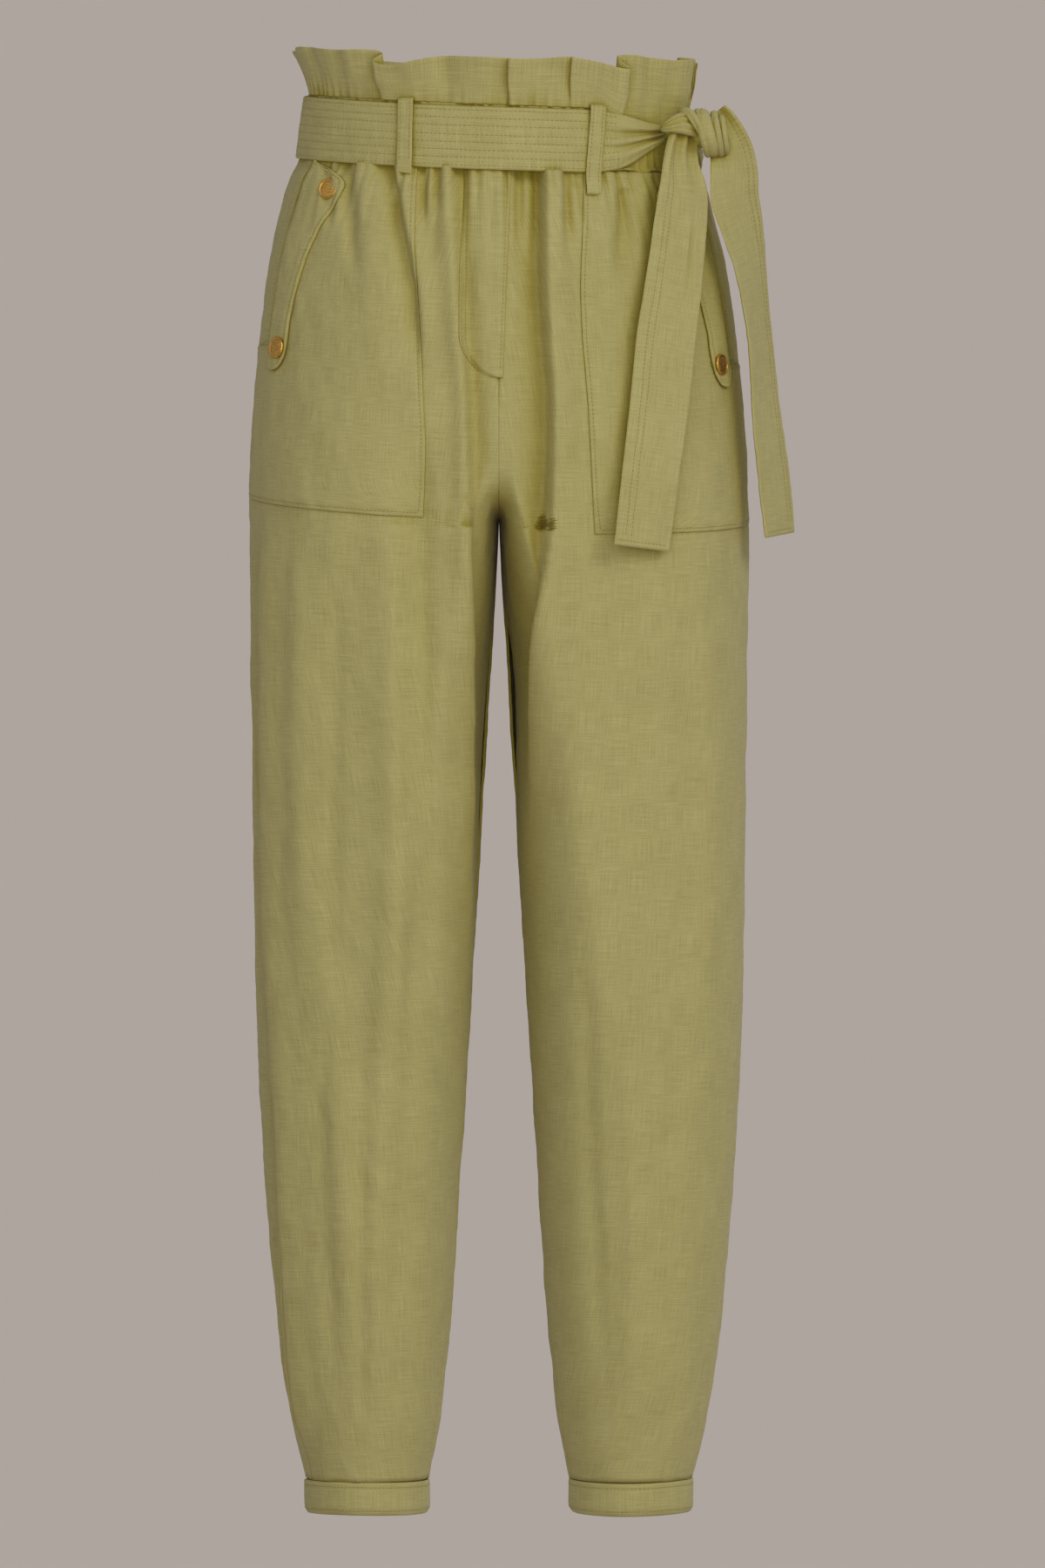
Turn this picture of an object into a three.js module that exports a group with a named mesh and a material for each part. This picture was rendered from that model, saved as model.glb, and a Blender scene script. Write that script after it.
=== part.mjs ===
// Paperbag waist trousers in linen: four panels, an elastic casing with a ruffled heading above it,
// a sash belt tied over the wearer's left hip, slit pockets with snapped flaps, and buttonless cuffs.
// The garment keeps the rounded hollow form that it has when it is worn.
// Millimetres, +Z up, -Y the wearer's front, +X the wearer's left. The origin is the middle of the
// waist, at half the height of the belt.
import * as THREE from 'three';

// ---- Walls and gaps ----
const SEAM_GAP = 0.3; // between pieces sewn edge to edge
const LAY_GAP = 0.7; // between a panel and a piece that lies on it
const BELT_GAP = 0.9; // between the casing and the belt
const PANEL_WALL = 1.5;
const PATCH_WALL = 1.2;
const CASING_WALL = 3;
const HEADING_WALL = 2;
const BELT_WALL = 2.4;
const CUFF_WALL = 2.4;
const LOOP_WALL = 1.4;

// ---- Heights ----
const BELT_WIDTH = 45;
const CASING_TOP = 24;
const CASING_BOTTOM = -24;
const HEADING_TOP = { front: 57, back: 47 };
const CROTCH_START = -165; // where the centre seams begin to curve under
const CROTCH = -280;
const CROTCH_CURVE = 9; // how late the centre seams turn under
const CUFF_TOP = -973;
const CUFF_BOTTOM = -997;

// The waist sits lower on the wearer's left: a drop for each millimetre across, gone by mid thigh.
const WAIST_DROP = 0.039;
const DROP_FADE = { from: -250, to: -600 };

// Between these heights the round of the hips turns into the round of two legs.
const LEG_FORMS = { from: -40, to: -340 };
const ROUND = 0.5523; // a Bezier handle that makes a quarter of a circle
// The fronts lie flat further in than the backs, so they turn in a narrower corner at the inside.
const FRONT_CORNER = [
  { z: -282, share: 0.24 },
  { z: -340, share: 0.36 },
  { z: -440, share: 0.56 },
  { z: -650, share: 0.85 },
  { z: -900, share: 1 },
];

// ---- Outline: side is the half-width at the side seams, inner is half the gap between the legs,
// front and back are the depths before and behind the side seams. ----
const SECTIONS = [
  { z: 24, side: 138, inner: 0, front: 90, back: 90 },
  { z: 0, side: 141, inner: 0, front: 92, back: 92 },
  { z: -24, side: 144.5, inner: 0, front: 93.5, back: 94 },
  { z: -34, side: 150, inner: 0, front: 97, back: 98 },
  { z: -46, side: 154, inner: 0, front: 100, back: 103 },
  { z: -90, side: 164.5, inner: 0, front: 110, back: 119 },
  { z: -140, side: 171.5, inner: 0, front: 114, back: 128 },
  { z: -200, side: 177, inner: 0, front: 116, back: 134 },
  { z: -280, side: 180.5, inner: 0, front: 114, back: 128 },
  { z: -380, side: 179.5, inner: 5.7, front: 107, back: 113 },
  { z: -480, side: 178.3, inner: 11.7, front: 100, back: 102 },
  { z: -580, side: 177, inner: 17.4, front: 94, back: 94 },
  { z: -680, side: 174.2, inner: 23.5, front: 87, back: 85 },
  { z: -780, side: 168, inner: 29.8, front: 78, back: 75 },
  { z: -835, side: 163, inner: 33.3, front: 73, back: 70 },
  { z: -885, side: 157.8, inner: 37.5, front: 67, back: 65 },
  { z: -930, side: 150.5, inner: 42.5, front: 60, back: 58 },
  { z: -973, side: 140, inner: 51, front: 53, back: 52 },
];

// ---- Largest folds: across is the distance from the middle at the fold's two ends, width is half of
// what it spans and lift is how far it stands out, or sinks in where it is negative. ----
const FOLDS = [
  { side: -1, face: -1, top: -20, bottom: -900, acrossTop: 36, acrossBottom: 24, width: 13, lift: 4 },
  { side: -1, face: -1, top: -20, bottom: -190, acrossTop: 77, acrossBottom: 64, width: 11, lift: -4 },
  { side: -1, face: -1, top: -560, bottom: -960, acrossTop: 170, acrossBottom: 146, width: 9, lift: -5 },
  { side: 1, face: -1, top: -20, bottom: -700, acrossTop: 29, acrossBottom: 33, width: 11, lift: -4.5 },
  { side: 1, face: -1, top: -30, bottom: -640, acrossTop: 52, acrossBottom: 60, width: 15, lift: 3.5 },
  { side: 1, face: -1, top: -20, bottom: -150, acrossTop: 86, acrossBottom: 82, width: 12, lift: -3.5 },
  { side: -1, face: 1, top: -20, bottom: -330, acrossTop: 58, acrossBottom: 74, width: 15, lift: -4 },
  { side: -1, face: 1, top: -300, bottom: -900, acrossTop: 92, acrossBottom: 88, width: 18, lift: -4 },
  { side: 1, face: 1, top: -20, bottom: -290, acrossTop: 46, acrossBottom: 66, width: 15, lift: -4 },
  { side: 1, face: 1, top: -320, bottom: -880, acrossTop: 96, acrossBottom: 84, width: 18, lift: -4 },
];

// ---- Heading: its fold lines, by bearing from the middle of the front towards the wearer's left,
// and how far each one draws in at the top edge. ----
const HEADING_FOLDS = [
  { bearing: -104, draw: 6 },
  { bearing: -72, draw: 5 },
  { bearing: -40, draw: 7 },
  { bearing: -17, draw: 4 },
  { bearing: 3, draw: 6 },
  { bearing: 22, draw: 5 },
  { bearing: 42, draw: 8 },
  { bearing: 72, draw: 8 },
  { bearing: 103, draw: 6 },
  { bearing: 126, draw: 4 },
  { bearing: 150, draw: 6 },
  { bearing: 175, draw: 5 },
  { bearing: 202, draw: 6 },
  { bearing: 229, draw: 5 },
];
const HEADING_FOLD_WIDTH = 7; // degrees each side of a fold line
const HEADING_FLARE = 11; // how far the top edge stands outside the casing at the sides

// ---- Pockets and flaps: reach is measured along the cloth from the side seam ----
const SLIT_REACH = 38;
const SLIT_TOP = -25.5;
const SLIT_BOTTOM = -153;
const POCKET_BOTTOM = { side: -271, inner: -277.5 };
const POCKET_INNER = { right: { top: 58.5, bottom: 57 }, left: { top: 60, bottom: 68 } };
const FLAP = [
  { z: -25.5, reach: 46, hem: 37 },
  { z: -31, reach: 70, hem: 37 },
  { z: -35, reach: 78, hem: 37 },
  { z: -41, reach: 81, hem: 37 },
  { z: -52, reach: 80, hem: 37 },
  { z: -70, reach: 74, hem: 37 },
  { z: -92, reach: 69.5, hem: 37 },
  { z: -116, reach: 67, hem: 37 },
  { z: -140, reach: 65, hem: 38 },
  { z: -158, reach: 65.5, hem: 40 },
  { z: -167, reach: 63, hem: 43 },
  { z: -173, reach: 57, hem: 49 },
];
const SNAPS = [
  { name: 'upper', z: -42, reach: 69 },
  { name: 'lower', z: -158, reach: 58 },
];
const FLAP_OUT = 2 * LAY_GAP + PATCH_WALL + 0.7; // from the panel to the flap's inner face
const SNAP_DIAMETER = 15;
const SNAP_HEIGHT = 2.4;

// ---- Fly ----
const FLY = { top: -24.6, straightTo: -146, bottom: -172, edgeTop: 8.6, edgeBottom: 2.9, stitch: -28 };

// ---- Belt ----
// Around the waist, by bearing: where the band's middle is, its half-width and its thickness. It
// narrows into the knot from both sides.
const BAND = [
  { bearing: 55, middle: 7, half: 8, wall: 5 },
  { bearing: 50, middle: 5.5, half: 12.5, wall: 4.4 },
  { bearing: 44, middle: 3, half: 17.5, wall: 3.4 },
  { bearing: 37, middle: 0.5, half: 21.5, wall: BELT_WALL },
  { bearing: 28, middle: 0, half: BELT_WIDTH / 2, wall: BELT_WALL },
  { bearing: -258, middle: 0, half: BELT_WIDTH / 2, wall: BELT_WALL },
  { bearing: -268, middle: 1.5, half: 20, wall: 3 },
  { bearing: -280, middle: 4.5, half: 13.5, wall: 4.2 },
  { bearing: -291, middle: 6.5, half: 8, wall: 5 },
];
const KNOT = { x: 142, y: -57, z: 6, wide: 21, deep: 15, high: 17 };
const FRONT_TAIL = [
  { x: 132, y: -69, z: -12, width: 27, turn: 25 },
  { x: 131.5, y: -73, z: -22, width: 33, turn: 29 },
  { x: 133, y: -77, z: -37, width: 42, turn: 32 },
  { x: 131.5, y: -82, z: -56, width: 45, turn: 30 },
  { x: 128, y: -90, z: -87, width: 45, turn: 28 },
  { x: 124, y: -97, z: -116, width: 45, turn: 22 },
  { x: 120, y: -104, z: -146, width: 45, turn: 18 },
  { x: 116, y: -110, z: -184, width: 45, turn: 18 },
  { x: 109, y: -117, z: -238, width: 45, turn: 20 },
  { x: 103, y: -121, z: -294, width: 45, turn: 22 },
];
const BACK_TAIL = [
  { x: 168.5, y: -53, z: -14, width: 34, turn: 29 },
  { x: 169.5, y: -53.5, z: -27, width: 42, turn: 35 },
  { x: 170.5, y: -52.5, z: -43, width: 45, turn: 39 },
  { x: 175.5, y: -49, z: -64, width: 45, turn: 48 },
  { x: 181, y: -45, z: -90, width: 45, turn: 60 },
  { x: 185, y: -42, z: -116, width: 45, turn: 65 },
  { x: 188, y: -40, z: -144, width: 45, turn: 67 },
  { x: 192, y: -38, z: -190, width: 45, turn: 64 },
  { x: 198, y: -38, z: -240, width: 45, turn: 61 },
  { x: 203.5, y: -38, z: -288, width: 45, turn: 62 },
];
const LOOP_WIDTH = 12;
const LOOPS = [
  { name: 'belt_loop_front_right', bearing: -29, bottom: -27 },
  { name: 'belt_loop_front_left', bearing: 27.5, bottom: -36 },
  { name: 'belt_loop_back_left', bearing: 148, bottom: -28 },
  { name: 'belt_loop_back_right', bearing: -148, bottom: -28 },
];

// ---- Materials ----
const LINEN = new THREE.MeshStandardMaterial({ color: 0xaca56c, roughness: 0.88, metalness: 0 });
const BRASS = new THREE.MeshStandardMaterial({ color: 0xb08a3c, roughness: 0.35, metalness: 1 });

// ---- Panels: their rows by height, and how many columns lie between their guides ----
// The guides are the side seam, the pocket slit, the pocket's inner edge, the edge of the fly and the
// centre seam. Below the pockets they ease to even shares of the leg.
const HIP_ROWS = [CASING_BOTTOM - SEAM_GAP, -34, -46, -64, -92, -122, SLIT_BOTTOM, -184, -214];
const CROTCH_ROWS = [-238, -257, -270, CROTCH];
const LEG_ROWS = [-304, -355, -430, -510, -590, -670, -745, -810, -865, -910, -945, CUFF_TOP + SEAM_GAP];
const PANEL_ROWS = [...HIP_ROWS, ...CROTCH_ROWS, ...LEG_ROWS];
const FRONT_SPANS = [2, 6, 2, 4];
const BACK_SPANS = [4, 2, 3];

// ---- Small mathematics ----
const clamp01 = (v) => Math.min(1, Math.max(0, v));
const smooth = (v) => clamp01(v) ** 2 * (3 - 2 * clamp01(v));
const mix = (a, b, v) => a + (b - a) * v;
const range = (count, make) => Array.from({ length: count + 1 }, (_, i) => make(i / count));
const radians = (degrees) => (degrees * Math.PI) / 180;

// A column of a table at a place between its rows, on a smooth curve through them.
function column(table, key, by, place) {
  const falling = table[0][by] > table[table.length - 1][by];
  const rows = falling ? [...table].reverse() : table;
  const last = rows.length - 1;
  let i = 0;
  while (i < last - 1 && place > rows[i + 1][by]) i += 1;
  const slope = (k) => {
    const a = rows[Math.max(0, k - 1)];
    const b = rows[Math.min(last, k + 1)];
    return (b[key] - a[key]) / (b[by] - a[by]);
  };
  const step = rows[i + 1][by] - rows[i][by];
  const v = clamp01((place - rows[i][by]) / step);
  const h = v * v * (3 - 2 * v);
  const start = slope(i) * step * v * (1 - v) * (1 - v);
  const end = slope(i + 1) * step * v * v * (v - 1);
  return rows[i][key] * (1 - h) + rows[i + 1][key] * h + start + end;
}

const sizeAt = (key, z) => column(SECTIONS, key, 'z', z);

function dropWaist(x, y, z) {
  const held = 1 - smooth((DROP_FADE.from - z) / (DROP_FADE.from - DROP_FADE.to));
  return [x, y, z - WAIST_DROP * x * held];
}

// ---- The panels' surface ----
// One quarter of the body at a height, from the side seam to the centre seam or inseam, as distances
// across and away from the side seams. A quarter of an ellipse leads to the leg's own middle, and a
// curve from there ends at the centre seam, which goes down the front and then under the crotch.
const curves = new Map();
function sectionCurve(face, z) {
  const key = `${face} ${z}`;
  if (curves.has(key)) return curves.get(key);
  const side = sizeAt('side', z);
  const inner = z > CROTCH ? 0 : sizeAt('inner', z);
  const depth = sizeAt(face < 0 ? 'front' : 'back', z);
  const middle = mix(0, (side + inner) / 2, smooth((LEG_FORMS.from - z) / (LEG_FORMS.from - LEG_FORMS.to)));
  const sunk = clamp01((CROTCH_START - z) / (CROTCH_START - CROTCH));
  const under = Math.acos(1 - sunk ** CROTCH_CURVE);
  const corner = (face < 0 ? column(FRONT_CORNER, 'share', 'z', z) : 1) * (middle - inner);
  const end = depth * Math.cos(under);
  const points = range(90, (v) => (
    [middle + (side - middle) * Math.cos(radians(90 * v)), depth * Math.sin(radians(90 * v))]));
  if (middle - inner > 0.1) {
    const bend = new THREE.CubicBezierCurve(
      new THREE.Vector2(inner + corner, depth),
      new THREE.Vector2(inner + corner * (1 - ROUND), depth),
      new THREE.Vector2(
        inner + corner * ROUND * Math.cos(under),
        end + ROUND * (depth - end) * Math.sin(under),
      ),
      new THREE.Vector2(inner, end),
    );
    const bent = bend.getPoints(90);
    bent.slice(middle - inner - corner > 0.1 ? 0 : 1).forEach((p) => points.push([p.x, p.y]));
  }
  const lengths = [0];
  points.slice(1).forEach((p, i) => {
    lengths.push(lengths[i] + Math.hypot(p[0] - points[i][0], p[1] - points[i][1]));
  });
  const curve = { points, lengths, total: lengths[lengths.length - 1] };
  curves.set(key, curve);
  return curve;
}

// The point at a share of the quarter's cloth, from 0 at the side seam to 1 at the centre seam.
function quarter(face, share, z) {
  const { points, lengths, total } = sectionCurve(face, z);
  let i = 1;
  while (i < points.length - 1 && lengths[i] < share * total) i += 1;
  const v = clamp01((share * total - lengths[i - 1]) / (lengths[i] - lengths[i - 1]));
  return [mix(points[i - 1][0], points[i][0], v), mix(points[i - 1][1], points[i][1], v)];
}

function outward(face, share, z) {
  const step = 0.012;
  const a = quarter(face, Math.max(0, share - step), z);
  const b = quarter(face, Math.min(1, share + step), z);
  const length = Math.hypot(b[0] - a[0], b[1] - a[1]);
  return [(b[1] - a[1]) / length, (a[0] - b[0]) / length];
}

function foldLift(side, face, t, z, across) {
  let lift = 0;
  for (const fold of FOLDS) {
    if (fold.side !== side || fold.face !== face) continue;
    const along = (fold.top - z) / (fold.top - fold.bottom);
    if (along <= 0 || along >= 1) continue;
    const middle = mix(fold.acrossTop, fold.acrossBottom, along);
    const strength = Math.min(smooth(along / 0.08), smooth((1 - along) / 0.45));
    lift += fold.lift * strength * Math.exp(-(((across - middle) / fold.width) ** 2));
  }
  return lift * smooth(t / 0.1) * smooth((1 - t) / 0.1);
}

// The share at a distance along the cloth from the side seam.
const atReach = (face, reach, z) => reach / sectionCurve(face, z).total;

// How far across the pocket's inner edge is at a height.
function pocketInner(side, z) {
  const edge = side < 0 ? POCKET_INNER.right : POCKET_INNER.left;
  return mix(edge.top, edge.bottom, clamp01((CASING_BOTTOM - z) / (CASING_BOTTOM - POCKET_BOTTOM.inner)));
}

// Where a panel is a distance across from the middle.
function atAcross(face, across, z) {
  let low = 0;
  let high = 1;
  for (let i = 0; i < 30; i += 1) {
    const t = (low + high) / 2;
    if (quarter(face, t, z)[0] > across) low = t;
    else high = t;
  }
  return (low + high) / 2;
}

// A point of a panel: side is -1 for the wearer's right, face is -1 for the front, and out is the
// distance outside the panel's outer face.
function panelPoint(side, face, t, z, out) {
  const [across, away] = quarter(face, t, z);
  const [nx, ny] = outward(face, t, z);
  const lift = foldLift(side, face, t, z, across);
  const x = side * (across + nx * lift + SEAM_GAP / 2);
  const y = face * (away + ny * lift + SEAM_GAP / 2);
  const [px, py, pz] = dropWaist(x, y, z);
  return [px + side * nx * out, py + face * ny * out, pz];
}

// Where a panel's columns are at a height: the guides, and even steps between them.
function panelColumns(side, face, z) {
  const spans = face < 0 ? FRONT_SPANS : BACK_SPANS;
  const guides = face < 0 ? [0, 0.15, 0.58, 0.76, 1] : [0, 0.45, 0.72, 1];
  if (face < 0) {
    const pocketEase = smooth((POCKET_BOTTOM.inner - z) / 130);
    const flyEase = smooth((FLY.bottom - z) / 100);
    guides[1] = mix(atReach(face, SLIT_REACH, z), guides[1], pocketEase);
    guides[2] = mix(atAcross(face, pocketInner(side, z), z), guides[2], pocketEase);
    guides[3] = mix(atAcross(face, -FLY.stitch, z), guides[3], flyEase);
  }
  const columns = [0];
  spans.forEach((count, i) => {
    for (let k = 1; k <= count; k += 1) columns.push(mix(guides[i], guides[i + 1], k / count));
  });
  return columns;
}

// The flat-faced panel's own surface at any place: what lies on a panel follows its faces.
function onPanel(side, face, t, z, out) {
  const last = PANEL_ROWS.length - 2;
  const row = Math.max(0, Math.min(last, PANEL_ROWS.findIndex((height) => height <= z) - 1));
  const v = clamp01((PANEL_ROWS[row] - z) / (PANEL_ROWS[row] - PANEL_ROWS[row + 1]));
  const here = panelColumns(side, face, z);
  let k = 0;
  while (k < here.length - 2 && t > here[k + 1]) k += 1;
  const u = clamp01((t - here[k]) / (here[k + 1] - here[k]));
  const above = panelColumns(side, face, PANEL_ROWS[row]);
  const below = panelColumns(side, face, PANEL_ROWS[row + 1]);
  const corner = (columns, index, height) => (
    new THREE.Vector3(...panelPoint(side, face, columns[index], height, 0)));
  const a = corner(above, k, PANEL_ROWS[row]);
  const b = corner(below, k, PANEL_ROWS[row + 1]);
  const c = corner(below, k + 1, PANEL_ROWS[row + 1]);
  const d = corner(above, k + 1, PANEL_ROWS[row]);
  const point = a.clone();
  if (v >= u) point.addScaledVector(b.clone().sub(a), v).addScaledVector(c.clone().sub(b), u);
  else point.addScaledVector(d.clone().sub(a), u).addScaledVector(c.clone().sub(d), v);
  const [nx, ny] = outward(face, t, z);
  return [point.x + side * nx * out, point.y + face * ny * out, point.z];
}

// A point of the waist, by bearing from the middle of the front towards the wearer's left.
function waistPoint(bearing, z, out) {
  const sin = Math.sin(radians(bearing));
  const cos = Math.cos(radians(bearing));
  const side = sizeAt('side', z);
  const depth = sizeAt(cos > 0 ? 'front' : 'back', z);
  const nx = sin * depth;
  const ny = -cos * side;
  const length = Math.hypot(nx, ny);
  return dropWaist(side * sin + (nx / length) * out, -depth * cos + (ny / length) * out, z);
}

// ---- Building closed solids ----
// Turns the faces outwards, and leaves out the points that no face uses.
function solid(points, faces) {
  let volume = 0;
  for (const [a, b, c] of faces) {
    const [p, q, r] = [points[a], points[b], points[c]];
    volume += p[0] * (q[1] * r[2] - q[2] * r[1]) + p[1] * (q[2] * r[0] - q[0] * r[2])
      + p[2] * (q[0] * r[1] - q[1] * r[0]);
  }
  const used = [...new Set(faces.flat())];
  const number = new Map(used.map((point, i) => [point, i]));
  const turned = volume > 0 ? faces : faces.map(([a, b, c]) => [a, c, b]);
  const geometry = new THREE.BufferGeometry();
  geometry.setAttribute('position', new THREE.Float32BufferAttribute(used.flatMap((i) => points[i]), 3));
  geometry.setIndex(turned.flat().map((point) => number.get(point)));
  geometry.computeVertexNormals();
  return geometry;
}

// A wall between two grids of points, rows by columns, over the cells that are kept. A ring's last
// column joins its first.
function wall(outer, inner, ring, keep = () => true) {
  const rows = outer.length;
  const columns = outer[0].length;
  const spans = ring ? columns : columns - 1;
  const at = (row, k, layer) => (layer * rows + row) * columns + (k % columns);
  const kept = (i, k) => i >= 0 && i < rows - 1 && (ring || (k >= 0 && k < spans)) && keep(i, k);
  const faces = [];
  const quad = (a, b, c, d) => faces.push([a, b, c], [a, c, d]);
  for (let i = 0; i < rows - 1; i += 1) {
    for (let k = 0; k < spans; k += 1) {
      if (!kept(i, k)) continue;
      quad(at(i, k, 0), at(i + 1, k, 0), at(i + 1, k + 1, 0), at(i, k + 1, 0));
      quad(at(i, k, 1), at(i, k + 1, 1), at(i + 1, k + 1, 1), at(i + 1, k, 1));
      if (!kept(i - 1, k)) quad(at(i, k, 0), at(i, k + 1, 0), at(i, k + 1, 1), at(i, k, 1));
      if (!kept(i + 1, k)) quad(at(i + 1, k + 1, 0), at(i + 1, k, 0), at(i + 1, k, 1), at(i + 1, k + 1, 1));
      if (!kept(i, k - 1)) quad(at(i + 1, k, 0), at(i, k, 0), at(i, k, 1), at(i + 1, k, 1));
      if (!kept(i, k + 1)) quad(at(i, k + 1, 0), at(i + 1, k + 1, 0), at(i + 1, k + 1, 1), at(i, k + 1, 1));
    }
  }
  return solid([...outer.flat(), ...inner.flat()], faces);
}

// A flat band of cloth along stations, each with its middle, width, thickness and the bearing it faces.
function ribbon(stations) {
  const outer = [];
  const inner = [];
  stations.forEach((here, i) => {
    const before = stations[Math.max(0, i - 1)];
    const after = stations[Math.min(stations.length - 1, i + 1)];
    const run = new THREE.Vector3(after.x - before.x, after.y - before.y, after.z - before.z).normalize();
    const facing = new THREE.Vector3(Math.sin(radians(here.turn)), -Math.cos(radians(here.turn)), 0);
    const across = new THREE.Vector3().crossVectors(facing, run).normalize();
    const normal = new THREE.Vector3().crossVectors(run, across).normalize();
    const middle = new THREE.Vector3(here.x, here.y, here.z);
    const place = (sideways, out) => middle.clone()
      .addScaledVector(across, sideways * here.width / 2).addScaledVector(normal, out).toArray();
    outer.push([place(-1, here.wall / 2), place(1, here.wall / 2)]);
    inner.push([place(-1, -here.wall / 2), place(1, -here.wall / 2)]);
  });
  return wall(outer, inner, false);
}

const group = new THREE.Group();
function add(name, geometry, material) {
  const mesh = new THREE.Mesh(geometry, material);
  mesh.name = name;
  group.add(mesh);
  return mesh;
}

function panel(side, face) {
  const grid = (out) => PANEL_ROWS.map((z) => (
    panelColumns(side, face, z).map((t) => panelPoint(side, face, t, z, out))));
  return wall(grid(0), grid(-PANEL_WALL), false);
}

for (const [word, side] of [['right', -1], ['left', 1]]) {
  add(`front_${word}`, panel(side, -1), LINEN);
  add(`back_${word}`, panel(side, 1), LINEN);
}

// ---- Casing and heading ----
function waistRing(heights, columns, out) {
  const step = (360 * (columns - 1)) / columns;
  return heights.map((z) => range(columns - 1, (v) => waistPoint(v * step, z, out)));
}
const casingRows = [CASING_BOTTOM, 0, CASING_TOP];
add('waist_casing', wall(waistRing(casingRows, 44, 0), waistRing(casingRows, 44, -CASING_WALL), true), LINEN);

function headingPoint(bearing, rise, out) {
  let draw = 0;
  for (const fold of HEADING_FOLDS) {
    const apart = ((bearing - fold.bearing + 540) % 360) - 180;
    draw += fold.draw * Math.exp(-((apart / HEADING_FOLD_WIDTH) ** 2));
  }
  const sideways = Math.sin(radians(bearing)) ** 2;
  const flare = rise ** 1.3 * mix(HEADING_FLARE - 4, HEADING_FLARE, sideways);
  const top = mix(HEADING_TOP.back, HEADING_TOP.front, smooth(Math.cos(radians(bearing)) + 0.5));
  const z = mix(CASING_TOP + SEAM_GAP, top, rise) - 0.4 * draw * rise;
  const [x, y, height] = waistPoint(bearing, CASING_TOP, out + flare - draw * rise);
  return [x, y, height + z - CASING_TOP];
}
const HEADING_COLUMNS = 80;
function headingGrid(out) {
  return [0, 0.5, 1].map((rise) => range(HEADING_COLUMNS - 1, (v) => (
    headingPoint((v * (HEADING_COLUMNS - 1) * 360) / HEADING_COLUMNS, rise, out))));
}
add('heading', wall(headingGrid(0), headingGrid(-HEADING_WALL), true), LINEN);

// ---- Belt ----
function bandGrid(layer) {
  const from = BAND[0].bearing;
  const to = BAND[BAND.length - 1].bearing;
  const stations = range(46, (v) => mix(from, to, v));
  const at = (key, bearing) => {
    const plain = bearing < BAND[4].bearing && bearing > BAND[5].bearing;
    return plain ? BAND[4][key] : column(BAND, key, 'bearing', bearing);
  };
  return [1, 0, -1].map((edge) => stations.map((bearing) => {
    const z = at('middle', bearing) + edge * at('half', bearing);
    return waistPoint(bearing, z, BELT_GAP + layer * at('wall', bearing));
  }));
}
add('belt_band', wall(bandGrid(1), bandGrid(0), false), LINEN);

// The knot is a rounded bundle with the wraps of the sash standing up across it.
function knot() {
  const ball = new THREE.SphereGeometry(1, 18, 11);
  const place = ball.getAttribute('position');
  for (let i = 0; i < place.count; i += 1) {
    const p = new THREE.Vector3().fromBufferAttribute(place, i);
    const across = p.x * 0.8 + p.z * 0.6;
    const swell = 1 + 0.07 * Math.cos(across * 7);
    place.setXYZ(i, p.x * swell * KNOT.wide, p.y * swell * KNOT.deep, p.z * swell * KNOT.high);
  }
  ball.deleteAttribute('uv');
  ball.deleteAttribute('normal');
  return ball;
}
add('belt_knot', knot(), LINEN).position.set(KNOT.x, KNOT.y, KNOT.z);

const strip = (rows) => ribbon(rows.map((row) => ({ ...row, wall: BELT_WALL })));
add('belt_tail_front', strip(FRONT_TAIL), LINEN);
add('belt_tail_back', strip(BACK_TAIL), LINEN);

for (const loop of LOOPS) {
  const over = BELT_GAP + BELT_WALL + 0.6 + LOOP_WALL / 2;
  const top = BELT_WIDTH / 2;
  const profile = [
    [top + 4.5, over - 2.6], [top + 3, over], [top - 4, over], [0, over],
    [-top + 4, over], [-top - 2, over], [loop.bottom, over - 1],
  ];
  const stations = profile.map(([z, out]) => {
    const [x, y, height] = waistPoint(loop.bearing, z, out);
    const [a, b] = waistPoint(loop.bearing, z, 0);
    const turn = Math.atan2(x - a, b - y) * 180 / Math.PI;
    return { x, y, z: height, width: LOOP_WIDTH, wall: LOOP_WALL, turn };
  });
  add(loop.name, ribbon(stations), LINEN);
}

// ---- Pockets, flaps and snaps ----
// The pocket takes the panel's own points as far as its inner edge. Above the foot of the slit it
// starts at the slit, and below it at the side seam.
function pocket(side) {
  const rows = PANEL_ROWS.filter((z) => z > POCKET_BOTTOM.side);
  const count = FRONT_SPANS[0] + FRONT_SPANS[1];
  const grid = (out) => [
    ...rows.map((z) => panelColumns(side, -1, z).slice(0, count + 1)
      .map((t) => onPanel(side, -1, t, z, out))),
    range(count, (v) => {
      const z = mix(POCKET_BOTTOM.side, POCKET_BOTTOM.inner, v);
      return onPanel(side, -1, panelColumns(side, -1, z)[Math.round(v * count)], z, out);
    }),
  ];
  const keep = (i, k) => k >= FRONT_SPANS[0] || rows[i] <= SLIT_BOTTOM;
  return wall(grid(LAY_GAP + PATCH_WALL), grid(LAY_GAP), false, keep);
}

function flap(side) {
  const grid = (out) => FLAP.map((row) => range(3, (v) => {
    const reach = mix(row.hem + 0.5, row.reach, v);
    return onPanel(side, -1, atReach(-1, reach, row.z), row.z, out);
  }));
  return wall(grid(FLAP_OUT + PATCH_WALL), grid(FLAP_OUT), false);
}

// A cap with a rounded rim and a shallow dish, turned round its own axis.
function snapCap() {
  const r = SNAP_DIAMETER / 2;
  const h = SNAP_HEIGHT;
  const profile = [[0, 0], [r, 0], [r, h - 0.7], [r - 0.8, h], [r - 2, h - 0.4], [0, h - 0.4]];
  const cap = new THREE.LatheGeometry(profile.map(([x, y]) => new THREE.Vector2(x, y)), 16);
  cap.deleteAttribute('uv');
  cap.deleteAttribute('normal');
  return cap;
}

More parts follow.
